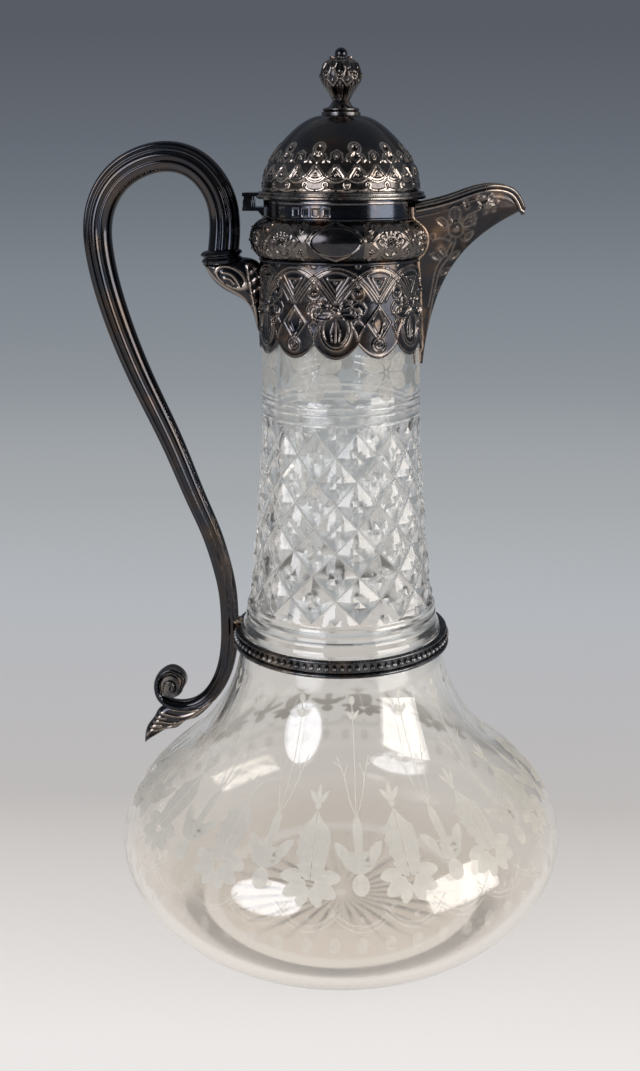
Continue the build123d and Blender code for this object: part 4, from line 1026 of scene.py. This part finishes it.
# ---------------------------------------------------------------- finial
# Cast and chased bud on a turned foot: overlapping ribbed petals with a boss at each, a leafy rim and a
# ball. A brass stud through the crown of the dome holds it, with a washer and a square nut inside the lid.
PETALS, RIM_LEAVES = 8, 9
BUD_RELIEF, BUD_RUB = 0.8, 0.6
BUD_LINE = [(2.5, 275.1), (3.4, 277.0), (4.8, 279.0), (5.85, 280.9), (6.15, 282.7), (5.8, 284.5),
            (4.75, 286.2), (3.0, 287.4)]


def bud_relief(angle, height):
    """Petals, ribs, bosses and leaf tips on the bud."""
    mm = radians(1) * np.interp(height, bud_line[:, 1], bud_line[:, 0])
    front = Chasing(folded(angle, 360 / PETALS) * mm, height)
    front.petal(0, 284.3, 1.5, 2.0)
    front.dome(0, 282.5, 0.75, lift=0.6, shine=0.5)
    front.ring(0, 282.5, 1.15, lift=0.19)
    front.line([(0, 275.4), (0, 280.4)], lift=0.15)
    back = Chasing(folded(angle - 180 / PETALS, 360 / PETALS) * mm, height)
    back.petal(0, 285.6, 0.9, 1.1)
    back.line([(-1.9, 281.3), (0, 279.2), (1.9, 281.3)], lift=0.22)
    back.line([(-0.9, 276.4), (-1.2, 279.4)], lift=0.14)
    back.line([(0.9, 276.4), (1.2, 279.4)], lift=0.14)
    back.dome(0, 280.9, 0.45)
    raised, rubbed = together((front, back))
    return BUD_RELIEF * raised, BUD_RUB * rubbed


foot_line = [(1.2, 275.1), (1.2, CROWN), (5.95, CROWN), (5.95, 271.9), (5.6, 272.1), (5.3, 272.3),
             (5.6, 272.6), (5.55, 272.9), (5.1, 273.2), (4.2, 273.4), (3.5, 273.8), (3.1, 274.3),
             (2.9, 274.8), (2.7, 275.0), (2.5, 275.3)]
foot = turned_piece("finial_foot_turned", foot_line, 96, 35)
finish(foot, highlit_silver, "lid", "finial_foot")
bud_line = flowing(BUD_LINE, 0.2)
bud = chased_sheet("finial_bud_chased", bud_line, 1.3, 288, bud_relief, fade=2)
finish(bud, chased, "lid", "finial_bud")

leaves, share, row = lattice("finial_leaf_rim", RIM_LEAVES * 16, 12)
leaf_out = [2.2, 2.6, 3.0, 3.3, 3.45, 3.4, 3.1, 2.7, 2.3, 1.9, 1.6, 2.2]
leaf_up = [286.7, 286.8, 286.9, 287.1, 287.5, 287.9, 288.0, 287.9, 287.7, 287.5, 287.1, 286.7]
notch = np.abs(folded(share * RIM_LEAVES, 1.0)) * 2
radius, height = np.take(leaf_out, row), np.take(leaf_up, row)
edge = np.exp(-((row - 4.5) / 2.0) ** 2)
radius = radius * (1 - 0.16 * edge * notch ** 1.5) + 0.12 * edge * (notch < 0.12)
put(leaves, turn(radius, height - 0.35 * edge * notch, share))
weld(leaves, 40)
cream = silver("sterling silver, rubbed bright", "#9b8f86", "#c9b7a6", 0.24, 0.2)
finish(leaves, cream, "lid")

clear()
bpy.ops.mesh.primitive_uv_sphere_add(segments=40, ring_count=24, radius=1.9 * MM, location=(0, 0, 288.6 * MM))
ball = named("finial_ball")
bpy.ops.object.transform_apply(location=True)
bpy.ops.object.shade_smooth()
finish(ball, plain, "lid", "finial_bead")

# Brass as it left the lathe, never polished: it has dulled to a brownish gold in small spots.
brass, tree, shine = material("brass, turned", {"Metallic": 1.0, "Roughness": 0.38})
where = node(tree, "ShaderNodeTexCoord")
dulled = node(tree, "ShaderNodeTexNoise", {"Scale": 500.0, "Detail": 3.0}, {"Vector": (where, "Object")})
tint = node(tree, "ShaderNodeValToRGB", links={"Fac": (dulled, "Fac")},
            stops=[(0.35, "#7a5a2c"), (0.65, "#b99552")])
tree.links.new(tint.outputs["Color"], shine.inputs["Base Color"])
for name in ("finial_stud", "finial_washer", "finial_nut"):
    coat(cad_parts[name], brass)

# ---------------------------------------------------------------- hinge, wires and bezel
# The five-knuckle hinge with its pin, the two half-round wires that cover the collar's seams, and the
# sleeve inside the lid are plain silver, just as the solids give them.
for name in ("hinge_lid_leaf", "hinge_collar_leaf", "hinge_pin", "collar_lower_wire", "collar_upper_wire",
             "lid_bezel"):
    coat(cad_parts[name], plain)

# ---------------------------------------------------------------- neck ring
# Channelled silver band sprung round the root of the neck, a stout wire at its foot and a fine one at its
# top, with a row of beads soldered in the channel.
BEADS, BEAD_RADIUS, BEAD_RING, BEAD_LEVEL = 90, 0.8, 35.55, 105.0
RING_LINE = [(33.9, 107.4), (33.9, 102.0), (35.4, 102.0), (35.95, 102.1), (36.25, 102.4), (36.3, 102.8),
             (36.1, 103.15), (35.6, 103.4), (35.0, 103.5), (34.95, 104.2), (34.95, 105.8), (35.05, 106.4),
             (35.4, 106.55), (35.58, 106.8), (35.55, 107.15), (35.3, 107.38)]
band_ring = turned_piece("neck_ring", RING_LINE, 256, 50)
greyed = silver("sterling silver, neck band", "#717274", "#887c72", 0.22, 0.1)
finish(band_ring, greyed, "jug", "neck_ring_band")
clear()
bpy.ops.mesh.primitive_uv_sphere_add(segments=16, ring_count=10, radius=BEAD_RADIUS * MM)
first_bead = named("neck_ring_beads_soldered")
bpy.ops.object.shade_smooth()
bead_spots = coords(first_bead)
copies = []
for i in range(BEADS):
    angle = 2 * pi * (i + 0.5) / BEADS
    bead = first_bead if i == 0 else first_bead.copy()
    if i:
        bead.data = first_bead.data.copy()
        bpy.context.scene.collection.objects.link(bead)
    put(bead, bead_spots + (BEAD_RING * MM * cos(angle), BEAD_RING * MM * sin(angle), BEAD_LEVEL * MM))
    copies.append(bead)
clear()
for bead in copies:
    bead.select_set(True)
bpy.context.view_layer.objects.active = first_bead
bpy.ops.object.join()
# Painted highlight: the beads are tinted light grey all over, standing in for the bright tops they show.
highlit_beads = silver("sterling silver, beads lightened as painted highlight", "#9c9c9d", "#b0aaa3", 0.26, 0.1)
finish(first_bead, highlit_beads, "jug", "neck_ring_beads")

# ---------------------------------------------------------------- handle
# Cast swan-necked arm with three reeds along each cheek, drawn out at its foot into a scroll over a lobed
# leaf. Its top fits a double-ringed socket, which a chased bracket carries on the collar, and its foot is
# let into the neck ring and soldered.
ARM_LINE = [(-37.2, 228.5), (-36.5, 234.4), (-37.1, 245.5), (-40, 251.7), (-46.2, 257.3), (-54.2, 259.1),
            (-62.4, 257.3), (-69.2, 253.1), (-73.9, 247), (-76.3, 239.7), (-76.2, 229.3), (-72, 210.5),
            (-64.7, 190.4), (-55.1, 168.7), (-47.5, 149.1), (-43.6, 139.5), (-40.3, 128.4), (-38.4, 118.6),
            (-37.9, 108.2), (-38.3, 98.8), (-40, 90.3), (-44, 82.1), (-49, 77.4), (-54.4, 76), (-59, 76.7),
            (-61.9, 78.5), (-63.4, 81.4), (-63.5, 84.6), (-62.5, 87.1), (-60.6, 88.9), (-58.3, 89.7),
            (-56.2, 88.9), (-54.8, 87.5), (-54.2, 85.8), (-54.7, 84), (-56.2, 81.2)]
ARM_WIDTHS = [(0.0, 9.8), (0.05, 9.5), (0.22, 9.2), (0.4, 8.3), (0.6, 6.8), (0.78, 5.8), (0.86, 5.0),
              (0.905, 3.2), (0.925, 2.4), (0.985, 2.1), (1.0, 0.6)]
ARM_DEPTHS = [(0.0, 8.0), (0.3, 7.8), (0.6, 6.0), (0.78, 5.4), (0.88, 6.4), (1.0, 6.2)]
ARM_STEPS, ARM_SQUARENESS = 120, 0.85
REEDS, REED_GROOVE_HALF, REED_GROOVE_DEPTH, REED_FADE = (0.1, -0.18, -0.36), 0.5, 0.5, 0.15
REED_RUB, SCROLL_RUB, SCROLL_FROM = 0.04, 0.22, 0.84
VOLUTE_AT, SOCKET_AT, SOCKET_TIP = (-59.2, 84.2), (-37.3, 226.8), 5
LUG_HALVES, LUG_AT = (1.9, 2.9, 1.1), (-35.6, 0, 107.9)


def upright(line):
    """A flat line stood up in the handle's plane: its points, and the way out from it at each."""
    run, zero = direction(line), np.zeros(len(line))
    return np.stack([line[:, 0], zero, line[:, 1]], axis=1), np.stack([-run[:, 1], zero, run[:, 0]], axis=1)


arm_line = flowing(ARM_LINE, 0.8)
arm_path, arm_out = upright(arm_line)
share_down = np.linspace(0, 1, len(arm_line))[:, None]
wide = np.interp(share_down, *np.transpose(ARM_WIDTHS))
deep = np.interp(share_down, *np.transpose(ARM_DEPTHS))
angles = np.arange(ARM_STEPS)[None] * 2 * pi / ARM_STEPS
level = np.cos(angles) * 0.5
bulk = np.sign(np.sin(angles)) * np.abs(np.sin(angles)) ** ARM_SQUARENESS * 0.5
groove = sum(np.exp(-((level - reed) * wide / REED_GROOVE_HALF) ** 2) for reed in REEDS)
groove = groove * np.clip((1 - share_down) / REED_FADE, 0.35, 1) * (np.abs(bulk) > 0.2)
sections = np.stack([level * wide, bulk * deep - np.sign(bulk) * REED_GROOVE_DEPTH * groove], axis=2)
worn_reeds = sum(np.exp(-((level - place) * wide / half) ** 2) for place, half in ((0.28, 0.8), (-0.02, 0.5)))
worn_scroll = np.clip((share_down - SCROLL_FROM) / 0.06, 0, 1)
arm_rub = REED_RUB * worn_reeds + SCROLL_RUB * worn_scroll - groove
arm = swept("handle_arm_reeded", arm_path, arm_out, sections, arm_rub, 180)
worn_silver = silver("sterling silver, cast and handled", "#2f333a", "#3f3833", 0.12, 0.06, even=0.95)
finish(arm, worn_silver, "jug", "handle_loop")

core_line = [(0.3, 1.7), (3.2, 1.7), (4.6, 2.0), (4.9, 1.5), (4.9, -1.5), (4.6, -2.0), (3.2, -1.7),
             (0.3, -1.7)]
core = turned_piece("volute_core", core_line, 64)
spots = coords(core) / MM
put(core, np.stack([spots[:, 0] + VOLUTE_AT[0], spots[:, 2], spots[:, 1] + VOLUTE_AT[1]], axis=1) * MM)
weld(core)
# Painted sheen: the volute's core, ridge and eye are tinted mid-grey, standing in for the sheen on the boss
# that faces the camera.
scroll_sheen_silver = silver("sterling silver, scroll lightened as painted sheen", "#7b7774", "#93837a", 0.2, 0.1)
finish(core, scroll_sheen_silver, "jug", "handle_volute")


def scroll(name, line, widths, half):
    """A rounded bar bent in the handle's plane, of these widths along its length and one thickness across."""
    line = flowing(line, 0.25)
    path, out = upright(line)
    wide = np.interp(np.linspace(0, 1, len(line)), *np.transpose(widths))[:, None]
    turns = np.arange(20)[None] * 2 * pi / 20
    thick = half * (0.6 + 0.4 * wide / wide.max())
    piece = swept(name, path, out, np.stack([np.cos(turns) * wide / 2, np.sin(turns) * thick], axis=2))
    finish(piece, scroll_sheen_silver, "jug")


RIDGE_LINE = [(-60.9, 79.6), (-62.1, 81.6), (-62.3, 84.4), (-61.1, 86.8), (-58.8, 87.8), (-56.7, 86.9),
              (-55.8, 84.8)]
scroll("volute_inner_ridge", RIDGE_LINE, [(0, 0.3), (0.2, 1.0), (0.8, 0.8), (1, 0.3)], 2.6)
EYE_LINE = [(-61.4, 81.4), (-61.3, 83.6), (-60.1, 85.3), (-58.4, 85.1), (-57.9, 83.6), (-58.4, 82.2),
            (-58.8, 81.5)]
scroll("volute_eye", EYE_LINE, [(0, 0.3), (0.45, 1.3), (0.8, 2.9), (0.92, 3.0), (1, 0.9)], 3.2)


def plate(name, upper, lower, half, work, stations=110, around=48):
    """A rounded plate in the handle's plane between two edges, chased on both faces by work(x, z)."""
    shares = np.linspace(0, 1, stations)
    top, bottom = (np.array([edge(s) for s in shares]) for edge in (evenly(upper), evenly(lower)))
    steps = np.arange(2 * around)
    t = np.where(steps <= around, steps / around, 2 - steps / around)
    spots = top[:, None] + (bottom - top)[:, None] * t[None, :, None]
    raised, rubbed = work(spots[..., 0].ravel(), spots[..., 1].ravel())
    gap = np.linalg.norm(bottom - top, axis=1)[:, None]
    edge = np.clip(np.minimum(t, 1 - t)[None] * gap / half, 0, 1)
    thick = half * np.sqrt(np.clip(1 - (1 - edge) ** 2, 0, 1))
    thick += raised.reshape(stations, -1) * np.clip(edge * 2, 0, 1)
    piece, share, row = lattice(name, 2 * around, stations + 2)
    column = np.rint(share * 2 * around).astype(int) % (2 * around)
    at = np.clip(row - 1, 0, stations - 1)
    inside = (row > 0) & (row < stations + 1)
    flat = np.where(inside[:, None], spots[at, column], (top[at] + bottom[at]) / 2)
    y = np.where(column < around, -1, 1) * thick[at, column] * inside * ((column % around) > 0)
    mark(piece, "rubbed", rubbed.reshape(stations, -1)[at, column])
    put(piece, np.stack([flat[:, 0], y, flat[:, 1]], axis=1) * MM)
    weld(piece, 50)
    return piece


def evenly(points):
    """A smooth curve through points, as a function of the share of its length."""
    line = flowing(points, 0.3)
    return lambda s: [np.interp(s * (len(line) - 1), np.arange(len(line)), line[:, axis]) for axis in (0, 1)]


def leaf_work(x, z):
    """Veins of the leaf's three lobes."""
    work = Chasing(x, z)
    for vein in ([(-49.5, 75.0), (-54.0, 72.9), (-58.8, 73.0), (-61.0, 73.6), (-62.9, 74.1)],
                 [(-44.0, 79.4), (-49.6, 74.0), (-55.8, 70.5), (-60.2, 70.3), (-62.9, 70.7), (-65.1, 70.5)],
                 [(-56.5, 69.6), (-60.3, 68.3), (-63.9, 67.4), (-66.3, 67.1), (-67.7, 65.4)],
                 [(-41.0, 86.0), (-46.5, 77.4), (-52, 74.9), (-58, 75.2)],
                 [(-61, 72.0), (-64, 72.2)], [(-62, 68.9), (-66, 68.7)]):
        work.line(flowing(vein, 1.0), lift=0.34, half=0.4, shine=0.45)
    return work.raised, work.rubbed


leaf_upper = [(-38.6, 96.0), (-40.8, 88.5), (-44.6, 81.8), (-49.6, 77.0), (-55.5, 76.2), (-60.5, 76.4),
              (-63.6, 74.6), (-65.2, 71.8), (-67.6, 68.4), (-68.9, 61.6)]
leaf_lower = [(-37.0, 94.0), (-39.6, 84.8), (-43.2, 79.0), (-47.4, 74.2), (-51.2, 71.4), (-53.8, 70.6),
              (-57.2, 67.9), (-60.6, 67.2), (-64.4, 65.0), (-67.4, 63.0), (-68.9, 61.6)]
foot_leaf = plate("handle_leaf_chased", leaf_upper, leaf_lower, 2.3, leaf_work)
finish(foot_leaf, worn_silver, "jug", "handle_leaf")


def bracket_work(x, z):
    """A raised oval panel with scroll lines, and leaf veins down to the toe."""
    work = Chasing(x, z)
    panel = (-34.2, 222.9, 5.2, 2.9, -28)
    work.dome(*panel, lift=0.5, shine=0.0)
    work.ring(*panel, lift=0.4, half=0.34)
    work.line(flowing([(-37.0, 224.4), (-34.6, 224.0), (-32.6, 222.2), (-31.4, 219.8)], 0.8), lift=0.3,
              half=0.34)
    work.line(flowing([(-36.4, 222.6), (-34.6, 222.4), (-33.4, 221.0)], 0.6), lift=0.3, half=0.3)
    long_vein = [(-42.0, 225.4), (-38.6, 221.4), (-34.0, 218.4), (-30.4, 216.0), (-28.4, 212.4),
                 (-27.0, 207.0)]
    work.line(flowing(long_vein, 1.0), lift=0.35, half=0.36)
    work.line(flowing([(-29.0, 226.8), (-28.4, 222.0), (-27.4, 215.0), (-26.6, 208.0)], 1.0), lift=0.3,
              half=0.34)
    for level in (225, 221.5, 218, 214.5):
        work.line([(-26.0, level + 1.2), (-28.0, level - 0.6)], lift=0.25, half=0.3)
    return work.raised, work.rubbed


bracket_upper = [(-43.4, 227.0), (-40.5, 227.9), (-36.5, 228.6), (-32.5, 228.9), (-29.4, 228.7),
                 (-26.6, 227.8), (-24.8, 225.6), (-24.9, 220.0), (-25.1, 213.0), (-25.3, 206.4)]
bracket_lower = [(-43.0, 226.2), (-41.6, 223.4), (-40.0, 221.2), (-36.6, 218.5), (-32.6, 216.5),
                 (-29.9, 214.6), (-28.1, 211.9), (-27.2, 208.4), (-26.4, 205.8)]
bracket = plate("handle_bracket_chased", bracket_upper, bracket_lower, 3.3, bracket_work)
finish(bracket, worn_silver, "jug", "handle_bracket")

socket_line = [(3.0, 0.2), (5.6, 0.2), (6.2, 0.5), (6.45, 1.1), (6.2, 1.7), (5.7, 2.05), (5.75, 2.3),
               (6.3, 2.55), (6.6, 3.1), (6.35, 3.7), (5.8, 4.1), (4.9, 4.4), (3.0, 4.4)]
socket = turned_piece("handle_socket_ringed", socket_line, 96, 40)
spots = coords(socket) / MM
tip = radians(SOCKET_TIP)
put(socket, np.stack([SOCKET_AT[0] + spots[:, 0] * cos(tip) - spots[:, 2] * sin(tip), spots[:, 1],
                      SOCKET_AT[1] + spots[:, 0] * sin(tip) + spots[:, 2] * cos(tip)], axis=1) * MM)
finish(socket, worn_silver, "jug", "handle_socket")

clear()
bpy.ops.mesh.primitive_ico_sphere_add(subdivisions=4, radius=1.0)
lug = named("handle_foot_solder")
spots = coords(lug)
lumps = 1 + 0.1 * np.sin(spots @ (7, 5, 3)) + 0.06 * np.sin(spots @ (-11, 9, 13))
put(lug, (spots * LUG_HALVES * lumps[:, None] + LUG_AT) * MM)
bpy.ops.object.shade_smooth()
finish(lug, solder, "jug", "ring_lug")

# ---------------------------------------------------------------- table and backdrop
# A pale sweep of coated paper: flat under the jug, then curved up into a wall behind it. The lamps' falloff
# is painted into its colour along its depth, near white where the lamps reach it and slate grey at the back.
SWEEP_WIDE, SWEEP_DEEP, SWEEP_FRONT = 5.0, 4.6, 1.6
WALL_FROM, WALL_BEND = 1.1, 0.6
FLOOR_GLOW = 0.85
clear()
bpy.ops.mesh.primitive_grid_add(x_subdivisions=2, y_subdivisions=96, size=1)
sweep = named("table_sweep")
spots = coords(sweep)
run = (spots[:, 1] + 0.5) * SWEEP_DEEP - SWEEP_FRONT
bend = np.clip((run - WALL_FROM) / WALL_BEND, 0, pi / 2)
spots[:, 0] *= SWEEP_WIDE
spots[:, 1] = np.minimum(run, WALL_FROM) + WALL_BEND * np.sin(bend)
spots[:, 2] = WALL_BEND * (1 - np.cos(bend)) + np.maximum(run - WALL_FROM - WALL_BEND * pi / 2, 0)
put(sweep, spots)
bpy.ops.object.shade_smooth()
paper, tree, shine = material("coated paper, rolled", {"Roughness": 0.62, "Specular IOR Level": 0.2})
where = node(tree, "ShaderNodeTexCoord")
depth = node(tree, "ShaderNodeSeparateXYZ", links={"Vector": (where, "Object")})
climb = node(tree, "ShaderNodeMath", {"operation": "ADD"}, {0: (depth, "Y"), 1: (depth, "Z")})
along = node(tree, "ShaderNodeMapRange", {"From Min": -0.1, "From Max": 2.2}, {"Value": (climb, 0)})
# Painted falloff of the lamps' light along the sweep's depth.
fall = node(tree, "ShaderNodeValToRGB", links={"Fac": (along, "Result")},
            stops=[(0.009, "#f0edeb"), (0.045, "#ddd9d6"), (0.077, "#c5c2c0"), (0.123, "#bfbec1"),
                   (0.19, "#b7bbbf"), (0.296, "#a6aaad"), (0.483, "#92979d"), (0.7, "#7f868d"),
                   (0.804, "#6e757d"), (0.904, "#60656e"), (0.97, "#575c65")])
tree.links.new(fall.outputs["Color"], shine.inputs["Base Color"])
# Painted glow: camera rays see the painted falloff mostly as emission, 85% on the floor rising to all of it
# on the wall, so the jug's shadow stays faint. Glossy rays see only that glow, and rays bent by the glass see
# the brighter painted ramp below as glow.
ray = node(tree, "ShaderNodeLightPath")
wall = node(tree, "ShaderNodeMapRange",
            {"From Min": 0.15, "From Max": 0.7, "To Min": FLOOR_GLOW, "To Max": 1.0},
            {"Value": (climb, 0)})
mirror = node(tree, "ShaderNodeMath", {"operation": "MAXIMUM"},
              {0: (ray, "Is Transmission Ray"), 1: (ray, "Is Glossy Ray")})
camera_ray = node(tree, "ShaderNodeMath", {"operation": "MULTIPLY"},
                  {0: (ray, "Is Camera Ray"), 1: (wall, "Result")})
part = node(tree, "ShaderNodeMath", {"operation": "MAXIMUM"}, {0: (mirror, 0), 1: (camera_ray, 0)})
lit = node(tree, "ShaderNodeValToRGB", links={"Fac": (along, "Result")},
           stops=[(0.009, "#ebe7e3"), (0.1, "#cdc9c6"), (0.3, "#b4b7b9"), (0.42, "#999ea3"),
                  (0.6, "#8f9396")])
behind = node(tree, "ShaderNodeMix", {"data_type": "RGBA"},
              {0: (ray, "Is Transmission Ray"), 6: (fall, "Color"), 7: (lit, "Color")})
glow = node(tree, "ShaderNodeEmission", {"Strength": 1.0}, {"Color": (behind, 2)})
both = node(tree, "ShaderNodeMixShader", links={0: (part, 0), 1: (shine, 0), 2: (glow, 0)})
tree.links.new(both.outputs[0], tree.nodes["Material Output"].inputs["Surface"])
sweep.data.materials.append(paper)

# ---------------------------------------------------------------- light and camera
# A round softbox stands to the left and a wide one to the right, and the rest of the room gives a dim even
# light. The camera looks down at the jug from a little above its middle.
VIEW_TURN, VIEW_TILT = 3.5, 73.8
EYE_AT, JUG_MIDDLE = (0, -0.415, 0.259), (0, 0, 0.15)


def placed(x, y, z):
    """A point given as seen by the camera, in the jug's own frame."""
    c, s = cos(radians(VIEW_TURN)), sin(radians(VIEW_TURN))
    return Vector((x * c - y * s, x * s + y * c, z))


def softbox(name, place, shape, wide, deep, power, tint):
    """A lamp with an even face at a place, turned to the jug's middle."""
    lamp = bpy.data.lights.new(name, "AREA")
    lamp.shape = shape
    lamp.size, lamp.size_y, lamp.energy = wide, deep, power
    lamp.color = linear(tint)[:3]
    held = bpy.data.objects.new(name, lamp)
    bpy.context.scene.collection.objects.link(held)
    held.location = placed(*place)
    held.rotation_euler = (placed(*JUG_MIDDLE) - placed(*place)).to_track_quat("-Z", "Y").to_euler()


softbox("softbox_left", (-0.70, -0.91, 0.50), "DISK", 0.75, 0.75, 8.5, "#f6f8ff")
softbox("softbox_right", (1.04, -0.55, 0.40), "RECTANGLE", 0.85, 0.66, 11.0, "#fffaf4")

room = bpy.context.scene.world or bpy.data.worlds.new("room")
bpy.context.scene.world = room
room.use_nodes = True
sky = room.node_tree
sky.nodes.clear()
way = node(sky, "ShaderNodeSeparateXYZ", links={"Vector": (node(sky, "ShaderNodeTexCoord"), "Generated")})
front = node(sky, "ShaderNodeMapRange", {"From Min": -1.0, "From Max": 1.0}, {"Value": (way, "Y")})
seen = node(sky, "ShaderNodeValToRGB", links={"Fac": (front, "Result")},
            stops=[(0.0, "#44474c"), (0.3, "#565a61"), (0.46, "#8b9097"), (0.62, "#969ca4"),
                   (1.0, "#80868e")])
ray = node(sky, "ShaderNodeLightPath")
rise = node(sky, "ShaderNodeMapRange", {"From Min": -1.0, "From Max": 1.0}, {"Value": (way, "Z")})
bent = node(sky, "ShaderNodeValToRGB", links={"Fac": (rise, "Result")},
            stops=[(0.3, "#faf8f5"), (0.5, "#e9e7e3"), (0.62, "#a4a7aa"), (1.0, "#868a90")])
through = node(sky, "ShaderNodeMix", {"data_type": "RGBA"},
               {0: (ray, "Is Transmission Ray"), 6: (seen, "Color"), 7: (bent, "Color")})
direct = node(sky, "ShaderNodeMath", {"operation": "MAXIMUM"},
              {0: (ray, "Is Camera Ray"), 1: (ray, "Is Glossy Ray")})
mirror = node(sky, "ShaderNodeMath", {"operation": "MAXIMUM"},
              {0: (direct, 0), 1: (ray, "Is Transmission Ray")})
dim = node(sky, "ShaderNodeBackground", {"Color": linear("#e8ebf0"), "Strength": 0.42})
shown = node(sky, "ShaderNodeBackground", {"Strength": 1.0}, {"Color": (through, 2)})
both = node(sky, "ShaderNodeMixShader", links={0: (mirror, 0), 1: (dim, 0), 2: (shown, 0)})
node(sky, "ShaderNodeOutputWorld", links={"Surface": (both, 0)})

eye = bpy.data.cameras.new("camera")
eye.sensor_fit = "VERTICAL"
eye.sensor_height = 24.0
eye.lens = 29.2
eye.shift_x = -0.01965
viewer = bpy.data.objects.new("camera", eye)
bpy.context.scene.collection.objects.link(viewer)
viewer.location = placed(*EYE_AT)
viewer.rotation_euler = (radians(VIEW_TILT), 0, radians(VIEW_TURN))
bpy.context.scene.camera = viewer
bpy.context.scene.view_settings.view_transform = "Standard"
# Light crosses the cut glass many times over, so the paths are let run long enough not to end black.
bpy.context.scene.cycles.max_bounces = 24
bpy.context.scene.cycles.glossy_bounces = 12
bpy.context.scene.cycles.transmission_bounces = 24
